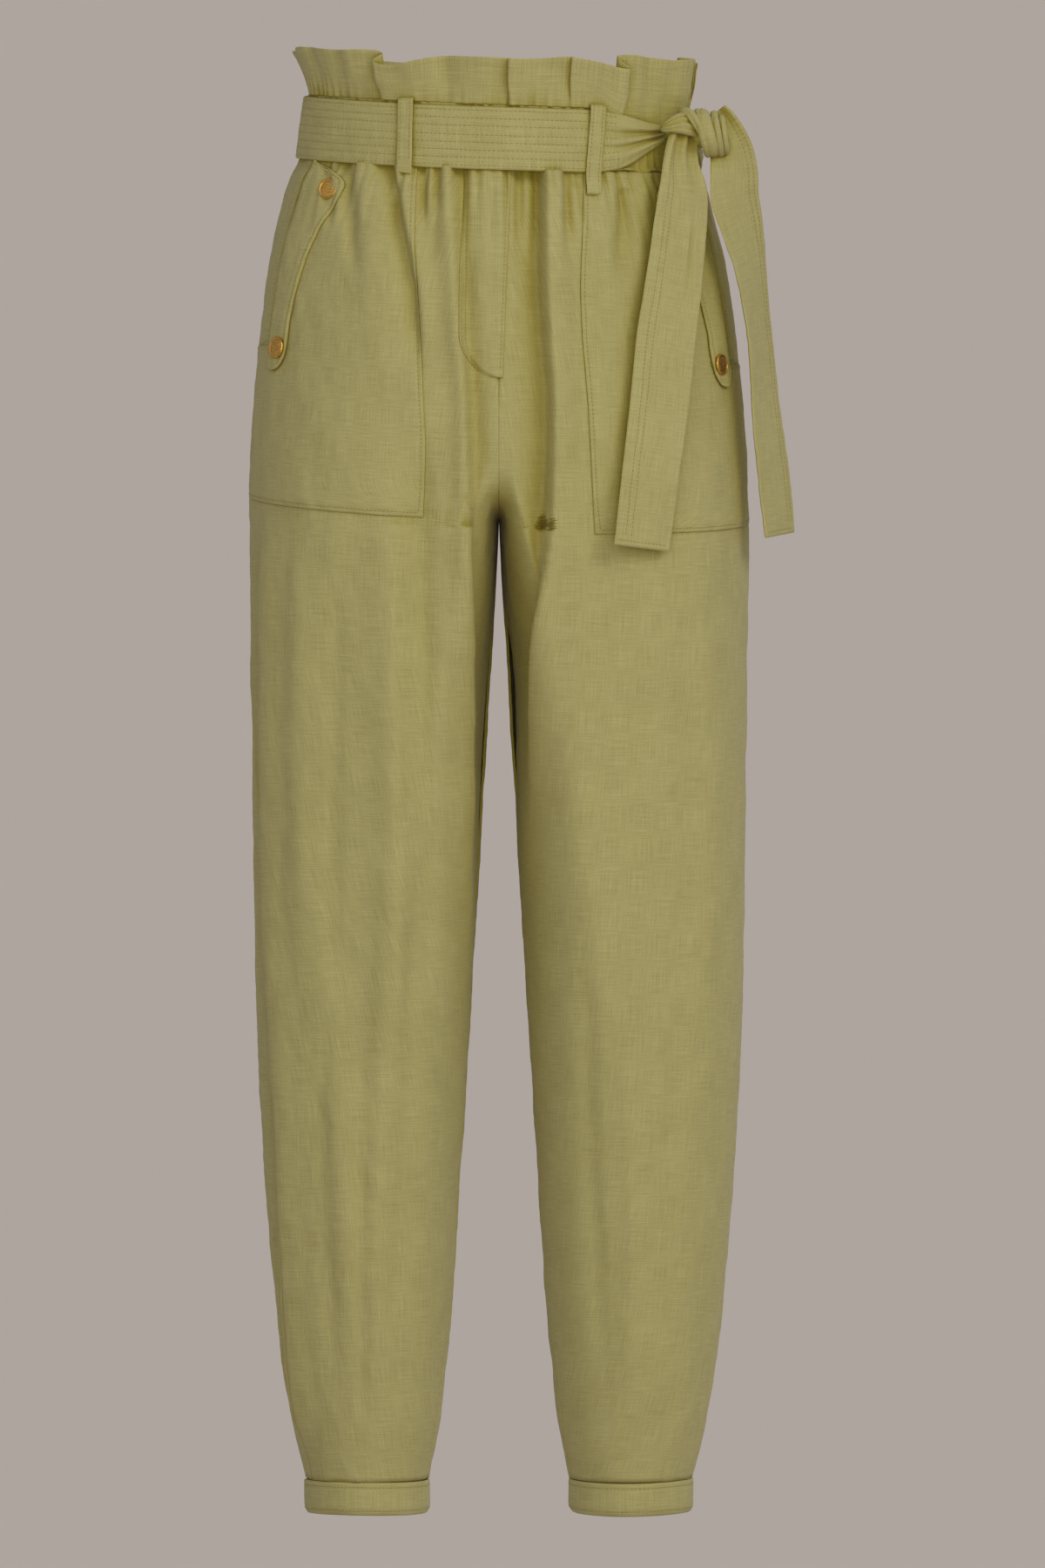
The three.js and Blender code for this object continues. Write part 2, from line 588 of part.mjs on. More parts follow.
for (const [word, side] of [['right', -1], ['left', 1]]) {
  add(`pocket_${word}`, pocket(side), LINEN);
  add(`flap_${word}`, flap(side), LINEN);
  for (const snap of SNAPS) {
    const t = atReach(-1, snap.reach, snap.z);
    const seat = FLAP_OUT + PATCH_WALL + 0.4;
    const foot = new THREE.Vector3(...onPanel(side, -1, t, snap.z, seat));
    const above = new THREE.Vector3(...onPanel(side, -1, t, snap.z + 4, seat));
    const below = new THREE.Vector3(...onPanel(side, -1, t, snap.z - 4, seat));
    const ahead = new THREE.Vector3(...onPanel(side, -1, t + 0.02, snap.z, seat));
    const behind = new THREE.Vector3(...onPanel(side, -1, t - 0.02, snap.z, seat));
    const normal = new THREE.Vector3().crossVectors(above.sub(below), ahead.sub(behind)).normalize();
    if (normal.y > 0) normal.negate();
    const cap = add(`snap_${snap.name}_${word}`, snapCap(), BRASS);
    cap.quaternion.setFromUnitVectors(new THREE.Vector3(0, 1, 0), normal);
    cap.position.copy(foot);
  }
}

// ---- Fly: an overlap on the two fronts, with a curved lower edge ----
function flyPoint(x, z, out) {
  const side = x < 0 ? -1 : 1;
  return onPanel(side, -1, atAcross(-1, Math.abs(x), z), z, out);
}
function fly() {
  const rows = [FLY.top, -34, -46, -64, -92, -122, FLY.straightTo, -155, -163, -169];
  const grid = (out) => rows.map((z) => {
    const low = clamp01((FLY.straightTo - z) / (FLY.straightTo - FLY.bottom));
    const edge = mix(FLY.edgeTop, FLY.edgeBottom, (FLY.top - z) / (FLY.top - FLY.bottom));
    const start = mix(edge - 2, FLY.stitch, Math.sqrt(1 - low * low));
    return range(5, (v) => flyPoint(mix(start, edge, v), z, out));
  });
  return wall(grid(LAY_GAP + PATCH_WALL), grid(LAY_GAP), false);
}
add('fly', fly(), LINEN);

// ---- Cuffs ----
const CUFF_COLUMNS = 30;
function cuff(side) {
  const grid = (out) => [CUFF_TOP, CUFF_BOTTOM].map((z) => range(CUFF_COLUMNS - 1, (v) => {
    const turn = (v * (CUFF_COLUMNS - 1) * 2 * Math.PI) / CUFF_COLUMNS;
    const face = turn < Math.PI ? -1 : 1;
    const half = (sizeAt('side', CUFF_TOP) - sizeAt('inner', CUFF_TOP)) / 2 + out;
    const depth = sizeAt(face < 0 ? 'front' : 'back', CUFF_TOP) + out;
    const middle = (sizeAt('side', CUFF_TOP) + sizeAt('inner', CUFF_TOP)) / 2;
    return [side * (middle + half * Math.cos(turn)), -depth * Math.sin(turn), z];
  }));
  return wall(grid(0.8), grid(0.8 - CUFF_WALL), true);
}
add('cuff_right', cuff(-1), LINEN);
add('cuff_left', cuff(1), LINEN);

export default group;
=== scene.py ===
import math

import bpy
import numpy as np
from mathutils import Matrix, Vector


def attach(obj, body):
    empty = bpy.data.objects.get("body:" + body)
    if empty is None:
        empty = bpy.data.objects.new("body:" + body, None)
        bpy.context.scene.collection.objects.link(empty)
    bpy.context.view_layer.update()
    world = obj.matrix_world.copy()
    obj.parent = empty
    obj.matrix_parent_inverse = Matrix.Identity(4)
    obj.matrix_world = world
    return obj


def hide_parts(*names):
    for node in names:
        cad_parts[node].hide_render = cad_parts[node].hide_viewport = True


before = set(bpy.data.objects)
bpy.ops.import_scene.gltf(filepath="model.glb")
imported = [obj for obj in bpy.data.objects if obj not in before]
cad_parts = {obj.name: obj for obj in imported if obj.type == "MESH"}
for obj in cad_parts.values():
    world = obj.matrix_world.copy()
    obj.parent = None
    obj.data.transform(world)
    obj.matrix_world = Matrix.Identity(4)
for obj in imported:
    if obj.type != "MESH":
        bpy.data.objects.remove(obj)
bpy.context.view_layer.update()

# Shapes are worked out in millimetres in the row's frame: +Z up, -Y the wearer's front, +X the
# wearer's left, the origin in the middle of the waist. place() turns them into metres.
MM = 0.001
CLOTH = 0.8  # thickness of one layer of linen
SEAM = 0.05  # half the gap where two pieces are sewn edge to edge

CASING_TOP = 24.0
CASING_BOTTOM = -20.5
PANEL_TOP = -20.8
CROTCH_START = -165.0
CROTCH = -280.0
CROTCH_CURVE = 9.0
CUFF_TOP = -973.0
CUFF_BOTTOM = -997.0
WAIST_DROP = 0.039
ROUND = 0.5523
# How square the fronts are between the middle of the leg and its inside, by height.
# Below the crotch the fronts lie flat further in than the backs: the share of the inner half that turns in.
FRONT_CORNER = ((-900, 1.0), (-650, 0.85), (-440, 0.56), (-340, 0.36), (-282, 0.24))

# Outline of the filled garment: half-width at the side, half the gap between the legs, and the
# depths before and behind the side seams.
SECTIONS = np.array([
    (24, 138, 0, 90, 90),
    (0, 141, 0, 92, 92),
    (-24, 144.5, 0, 93.5, 94),
    (-34, 150, 0, 97, 98),
    (-46, 154, 0, 100, 103),
    (-90, 164.5, 0, 110, 119),
    (-140, 171.5, 0, 114, 128),
    (-200, 177, 0, 116, 134),
    (-280, 180.5, 0, 114, 128),
    (-380, 179.5, 5.7, 107, 113),
    (-480, 178.3, 11.7, 100, 102),
    (-580, 177, 17.4, 94, 94),
    (-680, 174.2, 23.5, 87, 85),
    (-780, 168, 29.8, 78, 75),
    (-835, 163, 33.3, 73, 70),
    (-885, 157.8, 37.5, 67, 65),
    (-930, 150.5, 42.5, 60, 58),
    (-973, 140, 51, 53, 52),
], float)[::-1]


# ---- Small mathematics ----
def smooth(v):
    v = np.clip(v, 0.0, 1.0)
    return v * v * (3.0 - 2.0 * v)


def bell(v):
    return np.exp(-v * v)


def through(xs, ys, place):
    """A smooth curve through rows of a table whose xs rise."""
    xs, ys = np.asarray(xs, float), np.asarray(ys, float)
    place = np.asarray(place, float)
    before = np.r_[xs[0], xs[:-1]], np.r_[ys[0], ys[:-1]]
    after = np.r_[xs[1:], xs[-1]], np.r_[ys[1:], ys[-1]]
    slope = (after[1] - before[1]) / (after[0] - before[0])
    i = np.clip(np.searchsorted(xs, place, side="right") - 1, 0, len(xs) - 2)
    step = xs[i + 1] - xs[i]
    v = np.clip((place - xs[i]) / step, 0, 1)
    h = v * v * (3 - 2 * v)
    bend = slope[i] * step * v * (1 - v) ** 2 + slope[i + 1] * step * v * v * (v - 1)
    return ys[i] * (1 - h) + ys[i + 1] * h + bend


def spaced(length, step, edge_start=True, edge_end=True):
    """Distances along a width, closer together near the edges that are rolled over."""
    near = np.array([0, 0.35, 0.8, 1.4, 2.2, 3.0, 3.9, 5.2, 7.0])
    low = near if edge_start else np.array([0.0])
    high = length - near[::-1] if edge_end else np.array([length])
    count = max(2, int(round((high[0] - low[-1]) / step)) + 1)
    return np.r_[low[:-1], np.linspace(low[-1], high[0], count), high[1:]]


def crumple(a, b, seed, size, stretch=1.0, waves=9):
    """Soft uneven cloth, about -1 to 1: a is across and b is along, size is the wrinkles' length."""
    rng = np.random.default_rng(seed)
    total = 0.0
    for _ in range(waves):
        angle = rng.uniform(0, math.pi)
        length = size * rng.uniform(0.6, 1.6)
        phase = rng.uniform(0, 2 * math.pi, 2)
        u = (a * math.cos(angle) + b * stretch * math.sin(angle)) * 2 * math.pi / length
        v = (b * math.cos(angle) - a * math.sin(angle)) * 2 * math.pi / (length * 3.1)
        total = total + np.sin(u + phase[0] + 1.3 * np.sin(v + phase[1]))
    return total / waves ** 0.5


# ---- The body's surface: share s is 1 at the middle of the front or the inseam, 0 at the side and
# -1 at the middle of the back. Below the crotch it goes on round the leg. ----
ROW_HEIGHTS = np.r_[np.arange(60, -250, -2.0), np.arange(-250, -290, -0.4), np.arange(-290, -1011, -2.0)]
HALF_SHARES = 240


def section_rows():
    rows, lengths = [], []
    for z in ROW_HEIGHTS:
        side, inner, front, back = (float(through(SECTIONS[:, 0], SECTIONS[:, k], z)) for k in (1, 2, 3, 4))
        inner = 0.0 if z > CROTCH else inner
        middle = (side + inner) / 2 * float(smooth((-40 - z) / 300))
        sunk = min(1, max(0, (CROTCH_START - z) / (CROTCH_START - CROTCH)))
        under = math.acos(1 - sunk ** CROTCH_CURVE)
        halves = []
        narrow = float(through([p[0] for p in FRONT_CORNER], [p[1] for p in FRONT_CORNER], z))
        for depth, away, share in ((front, -1, narrow), (back, 1, 1.0)):
            end = depth * math.cos(under)
            phi = np.radians(np.linspace(0, 90, 91))
            x = middle + (side - middle) * np.cos(phi)
            y = depth * np.sin(phi)
            if middle - inner > 0.1:
                corner = share * (middle - inner)
                p = np.array([
                    (inner + corner, depth), (inner + corner * (1 - ROUND), depth),
                    (inner + corner * ROUND * math.cos(under), end + ROUND * (depth - end) * math.sin(under)),
                    (inner, end)])
                v = np.linspace(0, 1, 91)[1 if share == 1 else 0:, None]
                bend = (p[0] * (1 - v) ** 3 + 3 * p[1] * v * (1 - v) ** 2
                        + 3 * p[2] * v * v * (1 - v) + p[3] * v ** 3)
                x, y = np.r_[x, bend[:, 0]], np.r_[y, bend[:, 1]]
            run = np.r_[0, np.cumsum(np.hypot(np.diff(x), np.diff(y)))]
            even = np.linspace(0, run[-1], HALF_SHARES + 1)
            halves.append((np.interp(even, run, x), away * np.interp(even, run, y), run[-1]))
        (fx, fy, fl), (bx, by, bl) = halves
        rows.append(np.stack([np.r_[bx[::-1], fx[1:]], np.r_[by[::-1], fy[1:]]], -1))
        lengths.append((bl, fl))
    return np.array(rows), np.array(lengths)


BODY, LENGTHS = section_rows()


def row_of(z):
    return np.clip(np.interp(-z, -ROW_HEIGHTS, np.arange(len(BODY))), 0, len(BODY) - 1.001)


def body(s, z):
    s, z = np.broadcast_arrays(np.asarray(s, float), np.asarray(z, float))
    s = np.where((z < CROTCH) & (np.abs(s) > 1), (s + 1) % 2 - 1, np.clip(s, -1, 1))
    r, c = row_of(z), np.clip((s + 1) * HALF_SHARES, 0, 2 * HALF_SHARES - 0.001)
    i, k = r.astype(int), c.astype(int)
    v, u = (r - i)[..., None], (c - k)[..., None]
    return ((BODY[i, k] * (1 - u) + BODY[i, k + 1] * u) * (1 - v)
            + (BODY[i + 1, k] * (1 - u) + BODY[i + 1, k + 1] * u) * v)


def outward(s, z):
    span = 0.02
    joined = z < CROTCH
    lo = np.where(joined, s - span, np.maximum(s - span, -1))
    hi = np.where(joined, s + span, np.minimum(s + span, 1))
    d = body(hi, z) - body(lo, z)
    n = np.stack([-d[..., 1], d[..., 0]], -1)
    return n / np.maximum(np.linalg.norm(n, axis=-1, keepdims=True), 1e-9)


def length_at(front, z):
    return np.interp(-np.asarray(z, float), -ROW_HEIGHTS, LENGTHS[:, front])


def share_at_reach(reach, z):
    return reach / length_at(1, z)


def share_across(across, z):
    """Front share where the surface is this far across from the middle."""
    low, high = np.zeros_like(z, float), np.ones_like(z, float)
    for _ in range(24):
        half = (low + high) / 2
        wide = body(half, z)[..., 0] > across
        low, high = np.where(wide, half, low), np.where(wide, high, half)
    return (low + high) / 2


def drop(x, z):
    return WAIST_DROP * x * (1 - smooth((-250 - z) / 350))


# ---- Folds ----
# face: front or back. path: heights and where the fold is across there, +X the wearer's left.
# left and right: how far it spreads each way. lift: out of the surface, or into it if negative.
# fade: over how much of its height it starts and ends.
FOLDS = [
    ("front", ((-20, -79), (-64, -71), (-96, -65), (-110, -62), (-190, -57)), 9, 3, -4.6, 0, 70),
    ("front", ((-20, -72), (-64, -64), (-96, -57.5), (-190, -50)), 4, 9, 2.6, 0, 100),
    ("front", ((-20, -109), (-64, -107), (-120, -101)), 5, 6, -3.2, 0, 60),
    ("front", ((-20, -97), (-60, -95), (-190, -90)), 10, 12, 2.4, 0, 130),
    ("front", ((-20, -56), (-52, -55), (-76, -54)), 2.5, 3, -2.6, 0, 36),
    ("front", ((-20, -44.5), (-42, -44), (-60, -43)), 2.2, 2.5, -2.2, 0, 30),
    ("front", ((-20, -50), (-50, -49.5), (-80, -49)), 3, 3, 1.3, 0, 40),
    ("front", ((-20, -36.5), (-68, -34.7), (-146, -30), (-169, -27), (-276, -24.5), (-440, -23), (-640, -24)),
     8, 4.5, 4.2, 0, 220),
    ("front", ((-20, -29), (-107, -24), (-200, -17.5), (-300, -15), (-440, -15), (-620, -17)), 4, 8, -3.4, 0, 260),
    ("front", ((-190, -56), (-300, -56), (-480, -53), (-680, -54)), 14, 9, -4.4, 80, 160),
    ("front", ((-230, -78), (-380, -77), (-560, -75), (-700, -78)), 18, 9, 4.4, 90, 160),
    ("front", ((-300, -118), (-460, -122), (-640, -120)), 9, 9, -1.9, 70, 110),
    ("front", ((-280, -143), (-430, -146), (-640, -142)), 8, 8, 1.9, 70, 140),
    ("front", ((-520, -62), (-700, -66), (-900, -74)), 8, 8, -1.9, 90, 120),
    ("front", ((-560, -84), (-760, -88), (-940, -90)), 9, 9, 2.2, 90, 90),
    ("front", ((-620, -132), (-780, -126), (-930, -116)), 8, 8, -2.0, 80, 70),
    ("front", ((-700, -100), (-820, -100), (-950, -98)), 6, 7, -1.6, 60, 60),
    ("front", ((-240, 74), (-380, 70), (-560, 70)), 10, 12, -2.0, 70, 130),
    ("front", ((-300, 132), (-480, 138), (-660, 134)), 9, 9, -2.0, 90, 120),
    ("front", ((-560, 62), (-740, 66), (-920, 76)), 8, 8, -1.9, 90, 90),
    ("front", ((-600, 92), (-780, 96), (-940, 92)), 9, 8, 2.2, 90, 80),
    ("front", ((-640, 128), (-780, 122), (-920, 110)), 8, 8, -1.9, 80, 70),
    ("front", ((-20, 14.5), (-60, 14.5), (-95, 15)), 3, 3.5, -3.0, 0, 45),
    ("front", ((-20, 22), (-60, 22), (-110, 23)), 4, 4, 1.4, 0, 70),
    ("front", ((-20, 28.8), (-94, 28), (-139, 30), (-186, 33.5), (-274, 31), (-337, 23), (-400, 18), (-520, 15)),
     16, 3.2, -8.0, 0, 190),
    ("front", ((-20, 35), (-94, 35), (-139, 37.6), (-186, 41), (-274, 39), (-337, 31), (-400, 26.5), (-560, 24)),
     3.6, 14, 6.4, 0, 260),
    ("front", ((-20, 49), (-64, 49), (-90, 50)), 3, 3.5, -2.8, 0, 40),
    ("front", ((-20, 42), (-64, 43), (-100, 44)), 3.5, 3.5, 1.2, 0, 50),
    ("front", ((-30, 89.5), (-66, 89), (-112, 87)), 5, 6, -3.4, 8, 50),
    ("front", ((-20, 77), (-70, 76), (-150, 74)), 8, 8, 2.0, 0, 80),
    ("front", ((-60, 72), (-108, 66), (-190, 60)), 12, 12, -2.6, 30, 90),
    ("front", ((-20, 104), (-70, 104), (-150, 100)), 9, 9, 2.2, 0, 90),
    ("front", ((-20, -124), (-50, -122), (-80, -120)), 3, 4, -1.6, 0, 40),
    ("front", ((-270, -168), (-532, -167), (-590, -165), (-698, -157.5), (-768, -155), (-855, -151.8),
               (-905, -148), (-960, -142)), 4.5, 10, 4.2, 60, 40),
    ("front", ((-270, -176), (-532, -175), (-590, -173), (-698, -167), (-768, -163), (-855, -159),
               (-905, -154), (-960, -147)), 4.5, 3.5, -5.0, 60, 40),
    ("front", ((-250, -100), (-420, -106), (-620, -104), (-800, -96)), 26, 22, -3.0, 120, 160),
    ("front", ((-300, -72), (-500, -68), (-760, -76)), 24, 26, 2.6, 120, 180),
    ("front", ((-200, 96), (-420, 108), (-620, 116), (-800, 112)), 26, 30, -2.8, 120, 160),
    ("front", ((-220, 62), (-460, 64), (-700, 74)), 20, 26, 2.8, 100, 200),
    ("front", ((-260, 146), (-480, 152), (-720, 148)), 16, 18, 2.0, 120, 160),
    ("front", ((-640, -120), (-760, -112), (-880, -104)), 14, 14, 1.8, 70, 70),
    ("front", ((-680, 88), (-790, 92), (-900, 90)), 13, 15, -1.8, 60, 70),
    ("back", ((-20, -58), (-140, -64), (-330, -74)), 12, 9, -4.0, 0, 150),
    ("back", ((-20, -44), (-160, -47), (-300, -52)), 10, 8, 3.0, 0, 130),
    ("back", ((-20, 46), (-140, 52), (-290, 66)), 9, 12, -4.0, 0, 140),
    ("back", ((-20, 62), (-160, 70), (-300, 82)), 9, 11, 3.0, 0, 140),
    ("back", ((-20, -98), (-90, -102), (-170, -106)), 8, 7, -3.0, 0, 90),
    ("back", ((-20, 104), (-80, 108), (-150, 112)), 7, 8, -3.0, 0, 80),
    ("back", ((-20, 20), (-80, 21), (-130, 22)), 6, 6, -2.6, 0, 70),
    ("back", ((-20, -21), (-90, -20), (-150, -20)), 6, 6, -2.4, 0, 80),
    ("back", ((-240, -40), (-330, -60), (-420, -96)), 12, 12, -2.6, 60, 80),
    ("back", ((-250, 44), (-350, 70), (-430, 108)), 12, 12, -2.4, 60, 80),
    ("back", ((-300, -92), (-600, -96), (-900, -88)), 20, 16, -4.0, 120, 140),
    ("back", ((-320, 96), (-600, 92), (-880, 84)), 16, 20, -4.0, 120, 140),
    ("back", ((-330, -66), (-620, -68), (-860, -74)), 14, 14, 2.6, 120, 140),
    ("back", ((-330, 122), (-620, 118), (-860, 112)), 14, 14, 2.6, 120, 140),
]
FOLD_STRENGTH = 1.35
GATHERS_FRONT = {"seed": 21, "apart": (7, 13), "depth": (1.2, 3.2), "run": (18, 62)}
GATHERS_BACK = {"seed": 22, "apart": (8, 14), "depth": (1.3, 2.8), "run": (26, 90)}


def gather_lines(kind):
    rng = np.random.default_rng(kind["seed"])
    lines, x = [], -240.0
    while x < 240:
        x += rng.uniform(*kind["apart"])
        lines.append((x, rng.uniform(*kind["depth"]), rng.uniform(*kind["run"]), rng.uniform(1.2, 2.1)))
    return lines


FRONT_LINES, BACK_LINES = gather_lines(GATHERS_FRONT), gather_lines(GATHERS_BACK)


def fold_lift(side, s, z, across):
    x = side * across
    front = (s >= 0) & (s <= 1)
    lift = np.zeros_like(x)
    at_side = smooth(np.minimum(np.abs(s), np.abs(2 - np.abs(s))) / 0.07)
    for face, path, left, right, height, start, end in FOLDS:
        on = front if face == "front" else ~front
        heights = np.array([p[0] for p in path], float)
        middle = through(heights[::-1], [p[1] for p in path][::-1], z)
        d = x - middle
        d = np.where(d < 0, d / left, d / right)
        fade = smooth((z - heights[-1]) / end)
        if start:
            fade = fade * smooth((heights[0] - z) / start)
        lift += np.where(on, FOLD_STRENGTH * height * fade * bell(d) * at_side, 0)
    below = np.maximum(0, PANEL_TOP - z)
    for lines, on, front_side in ((FRONT_LINES, front, 1), (BACK_LINES, ~front, 0)):
        reach = side * (1 - np.abs(s)) * length_at(front_side, np.full_like(z, -60.0))
        flat = 1 - 0.65 * front_side * smooth((np.abs(reach) - 138) / 16)
        for place, depth, run, width in lines:
            spread = width * (1 + below / run)
            lift += np.where(on, -depth * flat * bell((reach - place) / spread) * bell(below / run), 0)
    return lift


def cloth(side, s, z, out=0.0):
    """A point of the garment's outer face, with its folds, and out further."""
    s, z, out = np.broadcast_arrays(np.asarray(s, float), np.asarray(z, float), np.asarray(out, float))
    p, n = body(s, z), outward(s, z)
    seed = 5 if side < 0 else 6
    lift = fold_lift(side, s, z, p[..., 0])
    round_it = p[..., 0] - np.abs(p[..., 1])
    lift = lift + 0.34 * crumple(round_it, z, seed, 34, 0.5) + 0.16 * crumple(round_it, z, seed + 7, 11, 0.8)
    centre = smooth((1 - np.abs(s)) / 0.03)
    lift = lift * (centre + (1 - centre) * smooth((CROTCH - 40 - z) / 70))
    x = side * (p[..., 0] + n[..., 0] * (lift + out))
    y = p[..., 1] + n[..., 1] * (lift + out)
    x0 = side * (p[..., 0] + n[..., 0] * lift)
    return np.stack([x, y, z - drop(x0, z)], -1)


def ring_point(bearing, z, out):
    """A point of the waist, by bearing in degrees from the middle of the front towards +X."""
    bearing, z, out = np.broadcast_arrays(*(np.asarray(v, float) for v in (bearing, z, out)))
    sin, cos = np.sin(np.radians(bearing)), np.cos(np.radians(bearing))
    side = through(SECTIONS[:, 0], SECTIONS[:, 1], z)
    depth = np.where(cos > 0, through(SECTIONS[:, 0], SECTIONS[:, 3], z), through(SECTIONS[:, 0], SECTIONS[:, 4], z))
    nx, ny = sin * depth, -cos * side
    n = np.hypot(nx, ny)
    x, y = side * sin + nx / n * out, -depth * cos + ny / n * out
    return np.stack([x, y, z - drop(x, z)], -1)


# ---- Meshes ----
def place(name, points, faces, material, uvs=None, flat=False):
    points, faces = np.asarray(points, float) * MM, list(map(tuple, faces))
    mesh = bpy.data.meshes.new(name)
    mesh.from_pydata(points.tolist(), [], faces)
    if uvs is not None:
        layer = mesh.uv_layers.new(name="cloth")
        layer.data.foreach_set("uv", (np.asarray(uvs, float) * MM).ravel())
    mesh.materials.append(material)
    mesh.validate()
    if not flat:
        mesh.shade_smooth()
    piece = bpy.data.objects.new(name, mesh)
    bpy.context.scene.collection.objects.link(piece)
    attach(piece, "root")
    return piece


def signed_volume(points, faces):
    f = np.array([q[:3] for q in faces] + [(q[0], q[2], q[3]) for q in faces if len(q) == 4])
    a, b, c = points[f[:, 0]], points[f[:, 1]], points[f[:, 2]]
    return float((a * np.cross(b, c)).sum())


def shell(name, outer, inner, material, ring=False, uv=None, extra=None):
    """A closed thin shell between two grids of points, rows by columns."""
    rows, cols = outer.shape[:2]
    spans = cols if ring else cols - 1
    i, k = np.meshgrid(np.arange(rows - 1), np.arange(spans), indexing="ij")
    i, k = i.ravel(), k.ravel()
    n = rows * cols

    def at(a, b, layer=0):
        return layer * n + a * cols + b % cols

    front = np.stack([at(i, k), at(i + 1, k), at(i + 1, k + 1), at(i, k + 1)], 1)
    back = np.stack([at(i, k, 1), at(i, k + 1, 1), at(i + 1, k + 1, 1), at(i + 1, k, 1)], 1)
    front_uv = np.stack([(i, k), (i + 1, k), (i + 1, k + 1), (i, k + 1)], 0).transpose(2, 0, 1)
    back_uv = np.stack([(i, k), (i, k + 1), (i + 1, k + 1), (i + 1, k)], 0).transpose(2, 0, 1)
    quads, corner = [front, back], [front_uv, back_uv]
    j = np.arange(spans)
    for row, turn in ((0, 1), (rows - 1, -1)):
        r = np.full(spans, row)
        quads.append(np.stack([at(r, j), at(r, j + 1), at(r, j + 1, 1), at(r, j, 1)], 1)[:, ::turn])
        corner.append(np.stack([(r, j), (r, j + 1), (r, j + 1), (r, j)], 0).transpose(2, 0, 1)[:, ::turn])
    if not ring:
        j = np.arange(rows - 1)
        for col, turn in ((0, -1), (cols - 1, 1)):
            c = np.full(rows - 1, col)
            quads.append(np.stack([at(j, c), at(j + 1, c), at(j + 1, c, 1), at(j, c, 1)], 1)[:, ::turn])
            corner.append(np.stack([(j, c), (j + 1, c), (j + 1, c), (j, c)], 0).transpose(2, 0, 1)[:, ::turn])
    points = np.r_[outer.reshape(-1, 3), inner.reshape(-1, 3)]
    faces, corner = np.concatenate(quads), np.concatenate(corner)
    if signed_volume(points, faces.tolist()) < 0:
        faces, corner = faces[:, ::-1], corner[:, ::-1]
    uvs = None
    if uv is not None:
        uvs = uv[corner[..., 0], corner[..., 1]].reshape(-1, 2)
    return place(name, points, faces.tolist(), material, uvs)


def joined(name, parts, material):
    """Several small closed meshes, each points and faces, as one."""
    points, faces, uvs, start = [], [], [], 0
    for p, f, *uv in parts:
        points.append(np.asarray(p, float))
        faces += [tuple(int(v) + start for v in face) for face in f]
        if uv:
            uvs += [uv[0][v] for face in f for v in face]
        start += len(p)
    return place(name, np.concatenate(points), faces, material, uvs or None)


def grid_normals(grid):
    du = np.gradient(grid, axis=1)
    dv = np.gradient(grid, axis=0)
    n = np.cross(dv, du)
    return n / np.maximum(np.linalg.norm(n, axis=-1, keepdims=True), 1e-9)


def rolled(d, height=1.25, stitch=3.0):
    """How high a patch's face is at a distance from its edge: rolled, stitched down, then swelling."""
    d = np.maximum(d, 0)
    rise = height * (1 - 0.62 * bell(d / 0.75))
    return rise - 0.42 * bell((d - stitch) / 0.95) + 0.22 * bell((d - stitch - 3.6) / 2.6)


# ---- Stitches ----
STITCHES = []


def stitch_row(points, outward_vectors, length=2.3, gap=0.75, width=0.42):
    """Lays short threads along a line of points, each sunk a little into the cloth."""
    points = np.asarray(points, float)
    normals = np.asarray(outward_vectors, float)
    run = np.r_[0, np.cumsum(np.linalg.norm(np.diff(points, axis=0), axis=1))]
    count = int(run[-1] // (length + gap))
    for n in range(count):
        at = (n + 0.15) * (length + gap)
        where = np.array([at, at + length * 0.5, at + length])
        spine = np.stack([np.interp(where, run, points[:, k]) for k in range(3)], 1)
        up = np.array([np.interp(where[1], run, normals[:, k]) for k in range(3)])
        up /= max(np.linalg.norm(up), 1e-9)
        ahead = spine[2] - spine[0]
        ahead /= max(np.linalg.norm(ahead), 1e-9)
        over = np.cross(ahead, up)
        ring = [over * width * 0.5, up * width * 0.42, -over * width * 0.5, -up * width * 0.3]
        lifts = (-0.12, 0.14, -0.12)
        scale = (0.55, 1.0, 0.55)
        p = [spine[a] + up * lifts[a] + r * scale[a] for a in range(3) for r in ring]
        f = [(0, 3, 2, 1), (8, 9, 10, 11)]
        for a in (0, 4):
            f += [(a + b, a + (b + 1) % 4, a + 4 + (b + 1) % 4, a + 4 + b) for b in range(4)]
        STITCHES.append((p, f))


# ---- Panels ----
OUTSEAM_RIGHT = ((-973, 0.16), (-800, 0.20), (-700, 0.20), (-590, 0.13), (-527, 0.07), (-380, 0.0))
INSEAM_TURN = ((-973, 0.09), (-925, 0.12), (-880, 0.09), (-842, 0.04), (-527, 0.03), (-340, 0.0))
SLIT_REACH = 37.5
SLIT_BOTTOM = -153.0
EDGE_STEPS = np.array([0, 0.4, 0.9, 1.5, 2.3, 3.2, 4.4, 6.2])


def from_table(table, z):
    rows = np.array(table, float)
    return np.interp(z, rows[:, 0], rows[:, 1])


def panel_columns(length, guides, count):
    """Distances along a panel's cloth: dense at both seams and at the guides, even between."""
    fixed = np.r_[EDGE_STEPS, guides]
    rows = []
    for total in length:
        rows.append(np.r_[fixed, np.linspace(fixed[-1], total - EDGE_STEPS[-1], count + 1)[1:],
                          total - EDGE_STEPS[-2::-1]])
    return np.array(rows)


def seam_dip(d):
    return -0.95 * bell(d / 0.9) + 0.28 * bell((d - 3.4) / 1.8)


def slit_welt(reach, z):
    inside = smooth((z - SLIT_BOTTOM) / 8)
    ridge = 1.3 * smooth((reach - 26) / 7) * (reach < SLIT_REACH) - 0.4 * bell((reach - 33) / 0.9)
    groove = -4.0 * bell((reach - SLIT_REACH - 0.7) / 1.1)
    return inside * (ridge * (reach < SLIT_REACH + 0.1) + groove)


